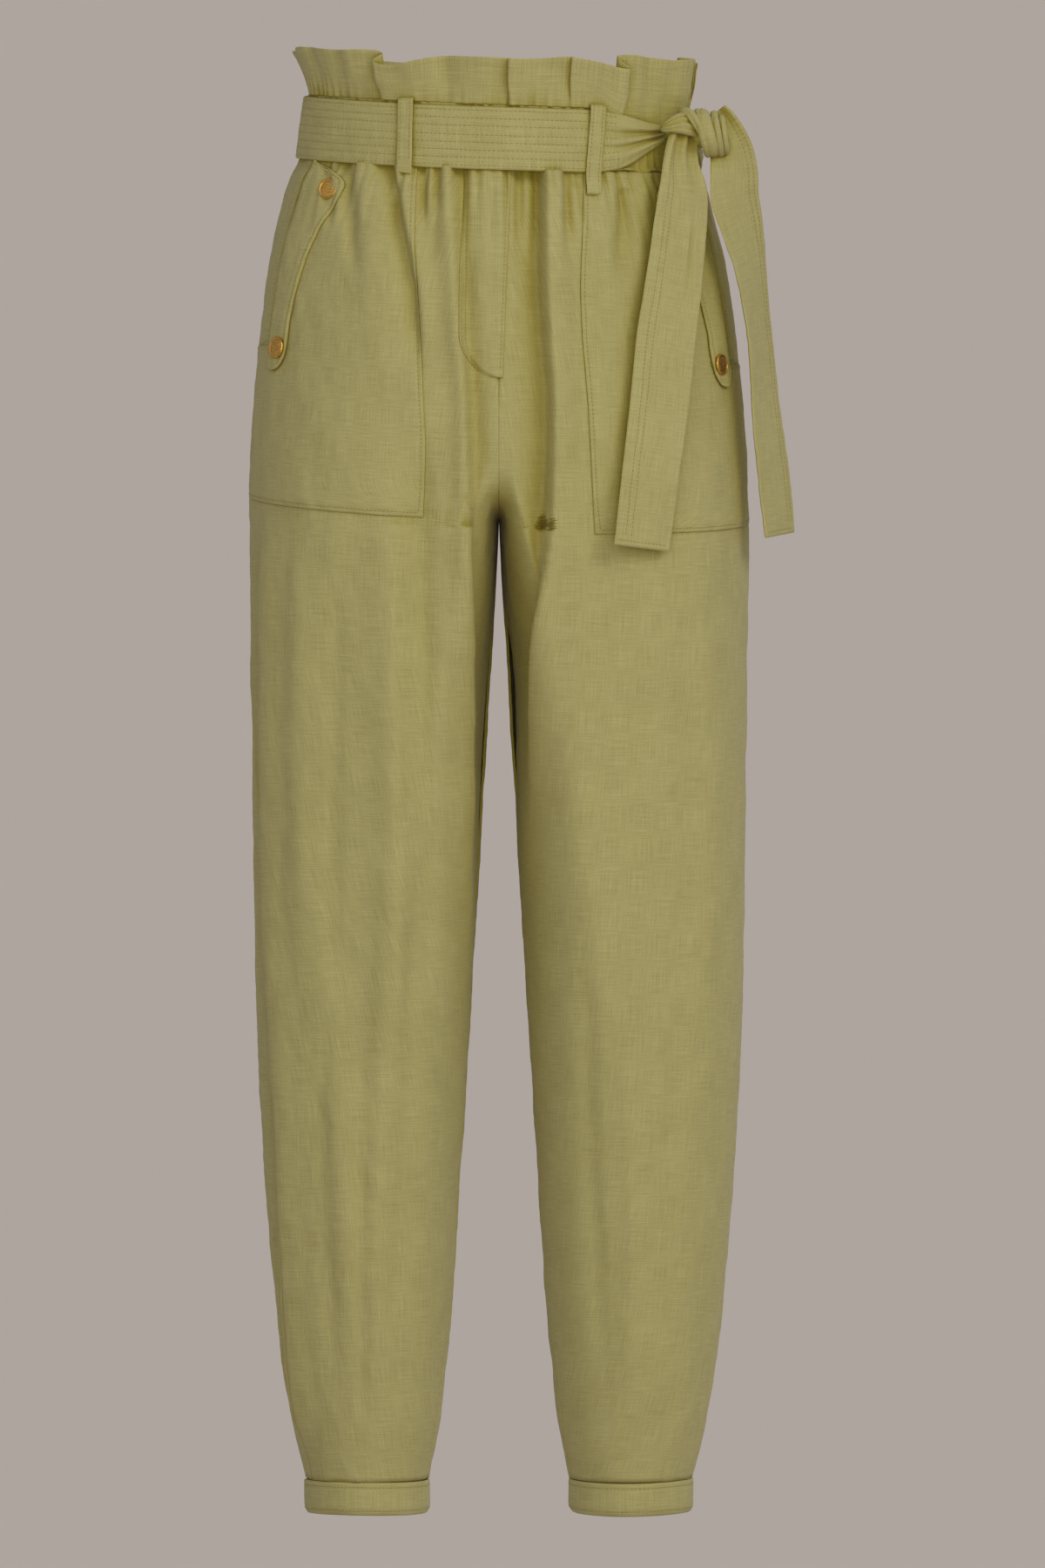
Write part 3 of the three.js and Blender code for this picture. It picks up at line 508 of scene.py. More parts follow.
def panel(name, side, front):
    z = np.r_[np.linspace(PANEL_TOP, -60, 24)[:-1], np.linspace(-60, -236, 52)[:-1], np.linspace(-236, -300, 56)[:-1],
              np.linspace(-300, CUFF_TOP + 0.3, 186)][:, None]
    outseam = from_table(OUTSEAM_RIGHT, z) if side < 0 else np.zeros_like(z)
    inseam = from_table(INSEAM_TURN, z)
    total = length_at(int(front), z)
    start, end = (outseam, 1 - inseam) if front else (-1 - inseam, outseam)
    if front:
        reach_start, width = start * total, (end - start) * total
    else:
        back_part = -np.maximum(start, -1) * total
        over_front = outseam * length_at(1, z) + (-1 - np.minimum(start, -1)) * length_at(1, z)
        width = back_part + over_front
    if front:
        guides = np.r_[np.linspace(6.2, 36.6, 13)[1:], 37.2, 37.6, 38.0, 38.7, 40.2]
        d = panel_columns(width[:, 0], guides, 96)
        s = start + d / total
    else:
        d = panel_columns(width[:, 0], [8.0], 84)
        s = start + d / width * (end - start)
    s = np.clip(s, start + SEAM / total, end - SEAM / total)
    crotch = smooth((CROTCH_START - z) / 40) * smooth((z - CROTCH + 60) / 50)
    inner_edge = width - d if front else d
    outer_edge = d if front else width - d
    out = seam_dip(outer_edge) + seam_dip(inner_edge) * (1 - crotch)
    if front:
        out = out + slit_welt(d, z)
    zz = np.broadcast_to(z, s.shape)
    outer, inner = cloth(side, s, zz, out), cloth(side, s, zz, out - CLOTH)
    uv = np.stack([side * (d if front else width - d), zz], -1)
    return shell(name, outer, inner, LINEN, uv=uv)


# ---- Pockets, flaps and snaps ----
POCKET_INNER = {
    -1: ((-281, 55), (-254, 53.6), (-220, 52.9), (-167, 55.4), (-122, 58), (-78, 59.9), (-20, 58.6)),
    1: ((-284, 69.3), (-190, 64.3), (-143, 60.5), (-104, 59.2), (-52, 60.5), (-20, 61)),
}
POCKET_BOTTOM = {-1: (-268.6, -274.5), 1: (-273.3, -281.5)}
POCKET_TOP = -21.5
FLAP_EDGE = ((-174.5, 54), (-173, 58.5), (-169.5, 62), (-165, 64.6), (-158, 66), (-150, 66), (-134, 65.2),
             (-115, 67), (-91, 69.8), (-70, 74), (-56, 79), (-47, 81.5), (-41, 81.8), (-37, 80.6), (-33, 75.5),
             (-28, 62), (-23, 44))
FLAP_HEM = ((-174.5, 51), (-173, 48), (-169, 44.8), (-163, 42.4), (-156, 41.6), (-148, 41), (-140, 40.8), (-20, 40.6))


def pocket(name, side):
    low = np.array([0, 0.35, 0.8, 1.4, 2.2, 3.0, 3.9, 5.2, 7.0])
    u = np.linspace(0, 1, 62)
    bottom_side, bottom_inner = POCKET_BOTTOM[side]
    height = abs(bottom_side - POCKET_TOP)
    along = np.r_[np.linspace(0, 1, 122) * (1 - 7 / height), 1 - low[-2::-1] / height]
    grid_s, grid_z, grid_d, grid_side = [], [], [], []
    for a in along:
        z0 = POCKET_TOP + a * (bottom_side - POCKET_TOP)
        z1 = POCKET_TOP + a * (bottom_inner - POCKET_TOP)
        reach = SLIT_REACH + 0.8 if z0 > -154 else 0.8 + SLIT_REACH * float(smooth((z0 + 161) / 7))
        total = float(length_at(1, z0))
        inner_s = float(share_across(np.array([from_table(POCKET_INNER[side], z1)]), np.array([z1]))[0])
        width = inner_s * total - reach
        d = np.r_[low, low[-1] + (width - 2 * low[-1]) * u[1:-1], width - low[::-1]]
        grid_s.append((reach + d) / total)
        grid_z.append(z0 + (z1 - z0) * d / width)
        grid_d.append(np.minimum(np.minimum(d, width - d), (1 - a) * height))
        grid_side.append(reach + d)
    s, z, d = np.array(grid_s), np.array(grid_z), np.array(grid_d)
    in_seam = smooth((-156 - z) / 8) * (1 - smooth(np.array(grid_side) / 34))
    out = 0.3 + rolled(d, 1.35, 2.4) * (1 - 0.85 * in_seam)
    outer, inner = cloth(side, s, z, out), cloth(side, s, z, 0.18 + 0 * out)
    piece = shell(name, outer, inner, LINEN, uv=np.stack([side * s * 300 + 900, z], -1))
    n = grid_normals(outer)
    n = n if n[60, 40, 1] < 0 else -n
    k = len(low) - 4
    stitch_row(outer[1:-4, -k - 1] + n[1:-4, -k - 1] * 0.12, n[1:-4, -k - 1])
    stitch_row(outer[-k - 1, 3:-5] + n[-k - 1, 3:-5] * 0.12, n[-k - 1, 3:-5])
    return piece


def flap(name, side):
    z = np.r_[np.linspace(-21.5, -164, 70), np.linspace(-164, -174.4, 17)[1:]]
    low = np.array([0, 0.35, 0.8, 1.4, 2.2, 3.0, 3.9])
    grid_s, grid_z, grid_out = [], [], []
    for h in z:
        hem, edge = float(from_table(FLAP_HEM, h)), float(from_table(FLAP_EDGE, h))
        width = edge - hem
        part = low * min(1, width / 12)
        d = np.r_[part, np.linspace(part[-1], width - part[-1], 18)[1:-1], width - part[::-1]]
        near_foot = (h + 174.6) * 0.9
        rim = np.minimum(np.minimum(d, width - d), near_foot)
        free = np.minimum(width - d, near_foot)
        total = float(length_at(1, h))
        s = (hem + d) / total
        base = 2.0 + 0.5 * math.sin((h + 20) / 38.0)
        hem_in = smooth(d / 5) if h > -158 else 1.0
        grid_out.append((0.5 + (base + 0.3) * (0.55 + 0.45 * hem_in)) + rolled(np.minimum(free, rim + 3 * (h > -158)), 1.5, 3.2))
        grid_s.append(s)
        grid_z.append(np.full_like(s, h))
    s, z, out = np.array(grid_s), np.array(grid_z), np.array(grid_out)
    outer, inner = cloth(side, s, z, out), cloth(side, s, z, np.maximum(out - 1.5, 1.7))
    piece = shell(name, outer, inner, LINEN, uv=np.stack([side * s * 300 + 1500, z + 400], -1))
    n = grid_normals(outer)
    n = n if n[30, 12, 1] < 0 else -n
    column = -len(low) + 1
    stitch_row(outer[3:-5, column] + n[3:-5, column] * 0.12, n[3:-5, column])
    stitch_row(outer[4:-8, 6] + n[4:-8, 6] * 0.1, n[4:-8, 6])
    strip_z = np.linspace(-26, -150, 60)
    strip_s = share_at_reach(33.0, strip_z)
    strip = cloth(side, strip_s, strip_z, 1.1)
    up = np.stack([side * outward(strip_s, strip_z)[:, 0], outward(strip_s, strip_z)[:, 1], 0 * strip_z], -1)
    stitch_row(strip, up)
    return piece


SNAP_PROFILE = ((0.0, 1.8), (3.5, 1.85), (5.4, 1.75), (5.8, 1.55), (6.1, 1.5), (6.4, 1.75), (6.9, 2.15), (7.25, 2.1),
                (7.6, 1.7), (7.7, 1.1), (7.65, 0.4), (7.2, 0.05), (0.0, 0.0))


def snap(name, side, z, reach):
    t = float(share_at_reach(reach, z))
    seat = 4.5
    spot = cloth(side, t, z, seat)
    up = cloth(side, t, z + 5, seat) - cloth(side, t, z - 5, seat)
    ahead = cloth(side, t + 0.02, z, seat) - cloth(side, t - 0.02, z, seat)
    normal = np.cross(up, ahead)
    normal = normal / np.linalg.norm(normal)
    normal = -normal if normal[1] > 0 else normal
    up = up / np.linalg.norm(up)
    over = np.cross(normal, up)
    turns = np.radians(np.arange(0, 360, 7.5))
    points, faces, rings = [], [], []
    for r, h in SNAP_PROFILE:
        if r == 0:
            points.append(spot + normal * h)
            rings.append([len(points) - 1])
            continue
        start = len(points)
        points += [spot + over * r * math.cos(a) + up * r * math.sin(a) + normal * h for a in turns]
        rings.append(list(range(start, start + len(turns))))
    n = len(turns)
    for a, b in zip(rings[:-1], rings[1:]):
        for k in range(n):
            if len(a) == 1:
                faces.append((a[0], b[k], b[(k + 1) % n]))
            elif len(b) == 1:
                faces.append((a[k], b[0], a[(k + 1) % n]))
            else:
                faces.append((a[k], b[k], b[(k + 1) % n], a[(k + 1) % n]))
    points = np.array(points)
    if signed_volume(points, faces) < 0:
        faces = [f[::-1] for f in faces]
    return place(name, points, faces, BRASS)


# ---- Fly ----
FLY_BOTTOM = -172.0
FLY_STRAIGHT = -140.0


def fly(name):
    z = np.r_[np.linspace(-21.2, FLY_STRAIGHT, 44), np.linspace(FLY_STRAIGHT, FLY_BOTTOM + 0.6, 24)[1:]]
    low = np.array([0, 0.35, 0.8, 1.4, 2.2, 3.0, 3.9, 5.2])
    xs, outs = [], []
    for h in z:
        edge = 8.6 + (2.9 - 8.6) * (h + 24.6) / (-172 + 24.6)
        bend = min(1, max(0, (FLY_STRAIGHT - h) / (FLY_STRAIGHT - FLY_BOTTOM)))
        straight = -26.0 - 2.6 * smooth((-30 - h) / 80)
        start = edge - 2.5 + (straight - edge + 2.5) * math.sqrt(1 - bend * bend)
        width = edge - start
        part = low * min(1, width / 14)
        x = np.r_[start, start + (width - part[-1]) * np.linspace(0, 1, 20)[1:-1], edge - part[::-1]]
        xs.append(x)
        outs.append(0.3 + 0.85 * smooth((x - start) / 6) * rolled(edge - x, 1.45, 2.6)
                    - 0.25 * bell((x - start - 2.4) / 0.9))
    x, out = np.array(xs), np.array(outs)
    z = np.broadcast_to(z[:, None], x.shape)
    s = share_across(np.abs(x), z)
    right, left = cloth(-1, s, z, out), cloth(1, s, z, out)
    right_in, left_in = cloth(-1, s, z, 0.15), cloth(1, s, z, 0.15)
    west = (x < 0)[..., None]
    outer, inner = np.where(west, right, left), np.where(west, right_in, left_in)
    piece = shell(name, outer, inner, LINEN, uv=np.stack([x + 1800, z], -1))
    n = grid_normals(outer)
    n = n if n[20, 10, 1] < 0 else -n
    for column in (1, 3):
        stitch_row(outer[:-2, column] + n[:-2, column] * 0.12, n[:-2, column], 2.0, 0.7)
    stitch_row(outer[:-3, -5] + n[:-3, -5] * 0.1, n[:-3, -5])
    return piece


# ---- Casing and heading ----
def casing(name):
    z = np.r_[CASING_BOTTOM - 0.6, CASING_BOTTOM, CASING_BOTTOM + 0.8, CASING_BOTTOM + 1.8, CASING_BOTTOM + 3,
              np.linspace(-15, 19, 9), 21.5, 23, 24][:, None]
    b = np.arange(0, 360, 0.75)[None, :]
    arc = b * 2.05
    ribs = np.sin(arc * 2 * math.pi / 7.3 + 1.7 * np.sin(arc / 19.0)) * (0.65 + 0.35 * np.sin(arc / 13.0 + 1))
    ribs = ribs + 0.35 * np.sin(arc * 2 * math.pi / 4.9 + z / 9)
    seam = bell((z - CASING_BOTTOM - 0.7) / 1.1)
    dent = bell((z - CASING_BOTTOM - 3.6) / 1.4)
    out = -0.6 + 0.85 * ribs * (1 - 0.5 * seam) + seam * (2.0 + 0.5 * np.sin(arc / 3.1)) - 0.9 * dent
    out = out - 1.6 * smooth((z - 8) / 4) * smooth((b - 28) / 8) * smooth((88 - b) / 8)
    wave = 0.9 * np.sin(arc / 5.2 + 1.4 * np.sin(arc / 17.0)) * smooth((-8 - z) / 12)
    zz = z + wave
    outer, inner = ring_point(b, zz, out), ring_point(b, zz, out - CLOTH)
    uv = np.stack(np.broadcast_arrays(np.r_[arc[0], 360 * 2.05][None, :], z), -1)
    return shell(name, outer, inner, LINEN, ring=True, uv=uv)


HEADING_TOP = ((-180, 47), (-150, 48), (-120, 52), (-104, 54), (-90, 55), (-75, 59), (-54, 58.6), (-41, 59.8),
               (-38.5, 57), (-36, 52), (-33, 49.4), (-26, 53.5), (-18, 57.4), (-7, 58.5), (3, 58.2), (12, 58.8),
               (21, 60.8), (27, 59), (33, 56.3), (38, 53.7), (41.5, 62.5), (50, 62), (61, 60.2), (66, 60.6),
               (75, 62), (90, 60), (104, 56), (130, 50), (180, 47))
# bearing, half-width in degrees, how far it doubles over, how far the cloth before it is in front
HEADING_FOLDS = ((-126, 3.0, 2.2, -3.0), (-104, 3.0, 2.4, 3.0), (-37.6, 2.6, 2.5, -4.6), (2.8, 2.0, 1.9, -3.2),
                 (21.8, 2.0, 1.8, -3.0), (39.6, 2.7, 2.9, 4.6), (71, 3.0, 3.4, 5.0), (97, 2.8, 2.4, -3.0),
                 (128, 3.0, 2.6, 3.2), (155, 2.8, 2.3, -3.0), (-158, 3.0, 2.5, 3.0))
# bearing, half-width, how far in
HEADING_VALLEYS = ((-68, 4, 2.6), (-54, 3.2, 1.8), (-17, 3.6, 3.4), (-27, 4, -1.6), (-7, 4, -1.8), (11, 3.5, 2.0),
                   (31, 3, -1.2), (51, 4, 2.4), (80, 4, 3.0), (112, 4, 2.5), (142, 4, 3.0), (170, 4, 3.0),
                   (-142, 4, 3.0), (-172, 4, 2.5), (-86, 4, 2.6))


def heading(name):
    rise = np.r_[0, 0.02, 0.05, np.linspace(0.1, 0.9, 11), 0.93, 0.955, 0.975, 0.99, 1.0][:, None]
    u = np.arange(-180, 180, 0.5)[None, :]
    z_top = through([p[0] for p in HEADING_TOP], [p[1] for p in HEADING_TOP], u)
    sideways = np.sin(np.radians(u)) ** 2
    flare = rise ** 1.25 * (6.0 + (2.6 - 3.9 * np.sin(np.radians(u))) * sideways)
    turn, out = 0.0 * u, flare
    for bearing, half, double, step in HEADING_FOLDS:
        x = ((u - bearing + 540) % 360 - 180) / half
        strength = 0.45 + 0.55 * smooth(rise / 0.6)
        turn = turn - half * double * x * bell(x) * strength
        out = out - step * np.tanh(1.4 * x) * bell(x / 2.6) * strength
    for bearing, half, deep in HEADING_VALLEYS:
        x = ((u - bearing + 540) % 360 - 180) / half
        out = out - 1.6 * deep * bell(x) * (0.3 + 0.7 * rise)
    arc = u * 2.15
    base = bell(rise / 0.34)
    gathers = np.sin(arc * 2 * math.pi / 8.4 + 1.9 * np.sin(arc / 23.0)) * (1.0 + 0.6 * np.sin(arc / 31.0 + 2))
    patchy = 0.25 + 1.3 * bell((u + 66) / 15) + 0.8 * smooth(np.sin(np.radians(u * 5.3 + 40)) * 0.8)
    out = out + 0.85 * base * gathers * patchy + 0.6 * crumple(arc, rise * 33, 41, 26, 0.5)
    hem = smooth((rise - 0.8) / 0.04)
    out = out + 0.35 * hem - 0.4 * bell((rise - 0.80) / 0.03)
    rolled_edge = -0.5 * bell((rise - 1) / 0.012)
    foot = CASING_TOP + 0.3 - 13.0 * smooth((u - 30) / 9) * smooth((84 - u) / 12)
    z = foot + (z_top - foot) * rise
    lean = 4.0 * rise * np.sin(np.radians((u + 30) * 3.1)) * 0.25
    b = u + turn + lean * 0.4
    height = z - CASING_TOP

    def layer(extra):
        p = ring_point(b, np.full_like(z, CASING_TOP), out + rolled_edge * np.sign(extra + 0.5) + extra)
        p[..., 2] += height
        return p

    uv_u = np.r_[arc[0], 180 * 2.15][None, :]
    uv = np.stack(np.broadcast_arrays(uv_u, z[:, :1] + 800), -1)
    outer, inner = layer(0.0), layer(-1.3)
    return shell(name, outer, inner, LINEN, ring=True, uv=uv)


# ---- Belt ----
BAND = ((-291, 6.5, 8, 5), (-280, 4.5, 13.5, 4.2), (-268, 1.5, 20, 3), (-258, 0, 22.5, 2.4), (28, 0, 22.5, 2.4),
        (33, 0.4, 21.4, 2.5), (37, 0.9, 19.8, 2.6), (41, 2.0, 17.2, 3.0), (45, 3.4, 13.6, 3.6), (49, 4.8, 10.0, 4.2),
        (55, 7, 6.0, 5))
BELT_ROWS = (0.87, 0.62, 0.38, 0.12, -0.15, -0.40, -0.64, -0.87)
# fraction of the half-width, half-width of the pleat, how high: where the band is drawn into the knot
BAND_PLEATS = ((0.62, 0.2, 1.6), (0.28, 0.13, -2.4), (-0.02, 0.2, 1.9), (-0.30, 0.12, -2.6), (-0.62, 0.22, 1.8))


def belt_band(name):
    b = np.linspace(-291, 55, 470)[None, :]
    near = np.array([0, 0.4, 0.9, 1.6, 2.6, 3.6, 5])
    rows = np.array(BAND, float)
    plain = (b > -258) & (b < 28)
    middle = np.where(plain, 0.0, through(rows[:, 0], rows[:, 1], b))
    half = np.where(plain, 22.5, through(rows[:, 0], rows[:, 2], b))
    wall = np.where(plain, 2.4, through(rows[:, 0], rows[:, 3], b))
    f = np.r_[1 - near / 22.5, np.linspace(1 - 5 / 22.5, -1 + 5 / 22.5, 33)[1:-1], -1 + near[::-1] / 22.5][:, None]
    drawn = np.maximum(smooth((b - 27) / 16), smooth((-256 - b) / 20))
    edge = (1 - np.abs(f)) * half
    out = 0.9 + wall - 1.0 * bell(edge / 0.8) - 0.12 * bell((edge - 3.2) / 1.1)
    for row in BELT_ROWS:
        out = out - 0.24 * bell((f - row) * 22.5 / 0.9) * (1 - drawn)
    for place_, width, height in BAND_PLEATS:
        out = out + height * drawn * bell((f - place_ * (1 - 0.15 * drawn)) / width)
    arc = b * 2.1
    waves = 0.30 * crumple(arc, f * 22.5, 51, 46, 0.9) + 0.16 * crumple(arc, f * 22.5, 52, 13, 0.8)
    slack = 0.5 * np.sin(arc / 41.0 + 0.6) + 0.35 * np.sin(arc / 17.0 + 2.2)
    z = middle + f * half + 0.35 * np.sin(arc / 36.0) * (1 - drawn)
    inner = ring_point(b, z, 0.55 + 0.15 * slack + 0.25 * drawn)
    outer = ring_point(b, z, out + waves + 0.3 * slack + 0.3)
    uv = np.stack(np.broadcast_arrays(arc, f * 22.5 + 2200), -1)
    piece = shell(name, outer, inner, LINEN, uv=uv)
    n = grid_normals(outer)
    mid = n[20, 235]
    at = outer[20, 235]
    n = n if np.dot(mid[:2], at[:2]) > 0 else -n
    for row in BELT_ROWS:
        i = int(np.argmin(np.abs(f[:, 0] - row)))
        stitch_row(outer[i, 6:-24] + n[i, 6:-24] * 0.12, n[i, 6:-24], 2.4, 1.0, 0.42)
    return piece


# ---- Straps: the tails and the belt loops ----
def strap(name, stations, thickness, step, rows_of_stitches, seed, crease=0.0, foot_row=None, uv_at=0.0):
    """stations: x, y, z of the middle, width, and the bearing the face looks to."""
    t = np.array(stations, float)
    run = np.r_[0, np.cumsum(np.linalg.norm(np.diff(t[:, :3], axis=0), axis=1))]
    along = spaced(run[-1], step)
    p = np.stack([through(run, t[:, k], along) for k in range(3)], -1)
    width, turn = through(run, t[:, 3], along), np.radians(through(run, t[:, 4], along))
    ahead = np.gradient(p, along, axis=0)
    ahead /= np.linalg.norm(ahead, axis=1, keepdims=True)
    facing = np.stack([np.sin(turn), -np.cos(turn), 0 * turn], -1)
    over = np.cross(facing, ahead)
    over /= np.linalg.norm(over, axis=1, keepdims=True)
    normal = np.cross(ahead, over)
    normal *= np.sign((normal * facing).sum(1, keepdims=True))
    full = t[:, 3].max()
    near = np.array([0, 0.35, 0.8, 1.4, 2.2, 3.2]) / full
    f = np.r_[near, np.linspace(near[-1], 1 - near[-1], max(6, int(full / 1.7)))[1:-1], 1 - near[::-1]]
    across = (f[None, :] - 0.5) * width[:, None]
    drawn = (1 - width / full)[:, None]
    edge = np.minimum(np.minimum(f, 1 - f)[None, :] * width[:, None], (run[-1] - along)[:, None])
    shape = -0.5 * thickness * bell(edge / 0.55)
    lift = 0.45 * crumple(across, along[:, None], seed, 60, 0.5) + 0.16 * crumple(across, along[:, None], seed + 1, 12, 0.7)
    lift = lift + 3.4 * drawn * np.sin((f[None, :] - 0.5) * 2 * math.pi * 2.4 + 0.8)
    for row in rows_of_stitches:
        lift = lift - 0.12 * bell(((f[None, :] - row) * full) / 0.9)
    if crease:
        c = bell((f[None, :] - 0.74) / 0.04) * bell((along[:, None] - 92) / 22)
        lift = lift - crease * c + crease * 0.7 * bell((f[None, :] - 0.66) / 0.06) * bell((along[:, None] - 92) / 26)
    middle = p[:, None, :] + over[:, None, :] * across[..., None]
    face = (lift + 0.5 * thickness + shape)[..., None]
    back = (lift - 0.5 * thickness - shape)[..., None]
    outer, inner = middle + normal[:, None, :] * face, middle + normal[:, None, :] * back
    uv = np.stack([across + uv_at, np.broadcast_to(along[:, None], across.shape)], -1)
    piece = shell(name, outer, inner, LINEN, uv=uv)
    n = np.broadcast_to(normal[:, None, :], outer.shape)
    for row in rows_of_stitches:
        k = int(np.argmin(np.abs(f - row)))
        stitch_row(outer[4:-8, k] + n[4:-8, k] * 0.14, n[4:-8, k], 2.2, 0.8, 0.38)
    if foot_row:
        i = int(np.argmin(np.abs(run[-1] - foot_row - along)))
        stitch_row(outer[i, 4:-4] + n[i, 4:-4] * 0.14, n[i, 4:-4], 2.2, 0.8, 0.38)
    return piece


FRONT_TAIL = ((134.5, -61, 7, 20, 20), (133, -65, -2, 23, 22), (131.7, -68.5, -9.5, 25.5, 24),
              (131.4, -72.5, -20, 30, 28), (133, -77, -36, 41, 32), (132, -81, -52, 44.5, 31),
              (128.2, -90, -86, 45, 28), (124.5, -97, -114, 45, 22), (120.6, -104, -142, 45, 17),
              (116, -110, -187, 45, 18), (109.5, -117, -238, 45, 22), (103, -121, -294, 45, 26))
BACK_TAIL = ((153, -49, 15, 26, 4), (158.5, -49, 8, 29, 10), (164, -50, -2, 32, 18), (168, -51.5, -12, 35, 26),
             (169.5, -53, -26, 42, 34), (170.2, -52.5, -43, 45, 38), (175.5, -49, -64, 45, 48),
             (181, -45, -89, 45, 60), (185, -42, -116, 45, 65), (188, -40, -143, 45, 68), (191.8, -38, -190, 45, 64),
             (197.8, -38, -240, 45, 60), (203.5, -38, -288, 45, 62))
FRONT_STITCHES, BACK_STITCHES = (0.16, 0.29), (0.80, 0.91)


def belt_loop(name, top_bearing, foot_bearing, foot, seed):
    heights = np.array([26.5, 26.0, 24.0, 19, 10, 0, -10, -19, -24, foot + 2.5, foot])
    outs = np.array([1.4, 3.6, 5.2, 5.4, 5.3, 5.2, 5.3, 5.4, 5.0 if foot < -32 else 5.2, 3.4 if foot < -32 else 4.8,
                     2.2 if foot < -32 else 4.2])
    share = (heights[0] - heights) / (heights[0] - foot)
    bearing = top_bearing + (foot_bearing - top_bearing) * share
    stations = []
    for h, out, b in zip(heights, outs, bearing):
        p = ring_point(b, h, out + 0.5)
        flat = ring_point(b, h, 0.0)
        turn = math.degrees(math.atan2(p[0] - flat[0], flat[1] - p[1]))
        stations.append((*p, 11.6, turn))
    return strap(name, stations, 1.4, 2.0, (0.16, 0.84), seed, uv_at=2600 + seed)


# ---- Knot ----
def bundle(path, facing, half_width, half_thick, ridges=(), segments=28):
    """A closed tube of bunched cloth along a path: facing is the way its broad side looks."""
    p, facing = np.array(path, float), np.array(facing, float)
    run = np.r_[0, np.cumsum(np.linalg.norm(np.diff(p, axis=0), axis=1))]
    along = np.linspace(0, run[-1], max(14, int(run[-1] / 1.3)))
    mid = np.stack([through(run, p[:, k], along) for k in range(3)], -1)
    look = np.stack([through(run, facing[:, k], along) for k in range(3)], -1)
    w, t = through(run, half_width, along), through(run, half_thick, along)
    ahead = np.gradient(mid, along, axis=0)
    ahead /= np.linalg.norm(ahead, axis=1, keepdims=True)
    over = np.cross(look, ahead)
    over /= np.linalg.norm(over, axis=1, keepdims=True)
    normal = np.cross(ahead, over)
    normal *= np.sign((normal * look).sum(1, keepdims=True))
    a = np.linspace(0, 2 * math.pi, segments, endpoint=False) - math.pi / 2
    c, s = np.cos(a), np.sin(a)
    x, y = np.sign(c) * np.abs(c) ** 0.85, np.sign(s) * np.abs(s) ** 0.8
    lift = np.zeros((len(along), segments))
    for spot, width, height in ridges:
        lift = lift + height * bell((x - spot) / width)[None, :] * (s > 0)[None, :] * (s ** 2)[None, :]
    lift = lift + 0.22 * crumple(x[None, :] * 12, along[:, None], int(run[-1] * 10), 9, 0.6)
    points = (mid[:, None, :] + over[:, None, :] * (x[None, :] * w[:, None])[..., None]
              + normal[:, None, :] * (y[None, :] * t[:, None] + lift)[..., None])
    n = segments
    rows = len(along)
    flat = np.r_[points.reshape(-1, 3), mid[:1], mid[-1:]]
    faces = []
    for i in range(rows - 1):
        faces += [(i * n + k, (i + 1) * n + k, (i + 1) * n + (k + 1) % n, i * n + (k + 1) % n) for k in range(n)]
    faces += [(rows * n, k, (k + 1) % n) for k in range(n)]
    faces += [(rows * n + 1, (rows - 1) * n + (k + 1) % n, (rows - 1) * n + k) for k in range(n)]
    if signed_volume(flat, faces) < 0:
        faces = [f[::-1] for f in faces]
    around = np.broadcast_to(a[None, :] * 8, (rows, n))
    uv = np.stack([around, np.broadcast_to(along[:, None], (rows, n))], -1).reshape(-1, 2)
    return flat, faces, np.r_[uv, [(0, 0), (0, along[-1])]] + 4000 + 100 * run[-1]


def wrap_round(centre, across_x, deep, high, start, end, wide, thick, ridges, drift=0.0):
    """Part of a turn of the sash round the knot, whose core runs across. Angles from the front, rising."""
    angles = np.radians(np.linspace(start, end, 15))
    share = np.linspace(0, 1, 15)
    path = np.stack([centre[0] + across_x * np.sin(angles) + drift * share, centre[1] - deep * np.cos(angles),
                     centre[2] + high * np.sin(angles)], -1)
    look = np.stack([0.12 + 0 * angles, -np.cos(angles) / deep, np.sin(angles) / high], -1)
    look[:, 0] *= 1 / deep
    taper = 0.72 + 0.28 * np.sin(np.pi * share)
    return bundle(path, look, wide * taper, np.full(15, thick), ridges)


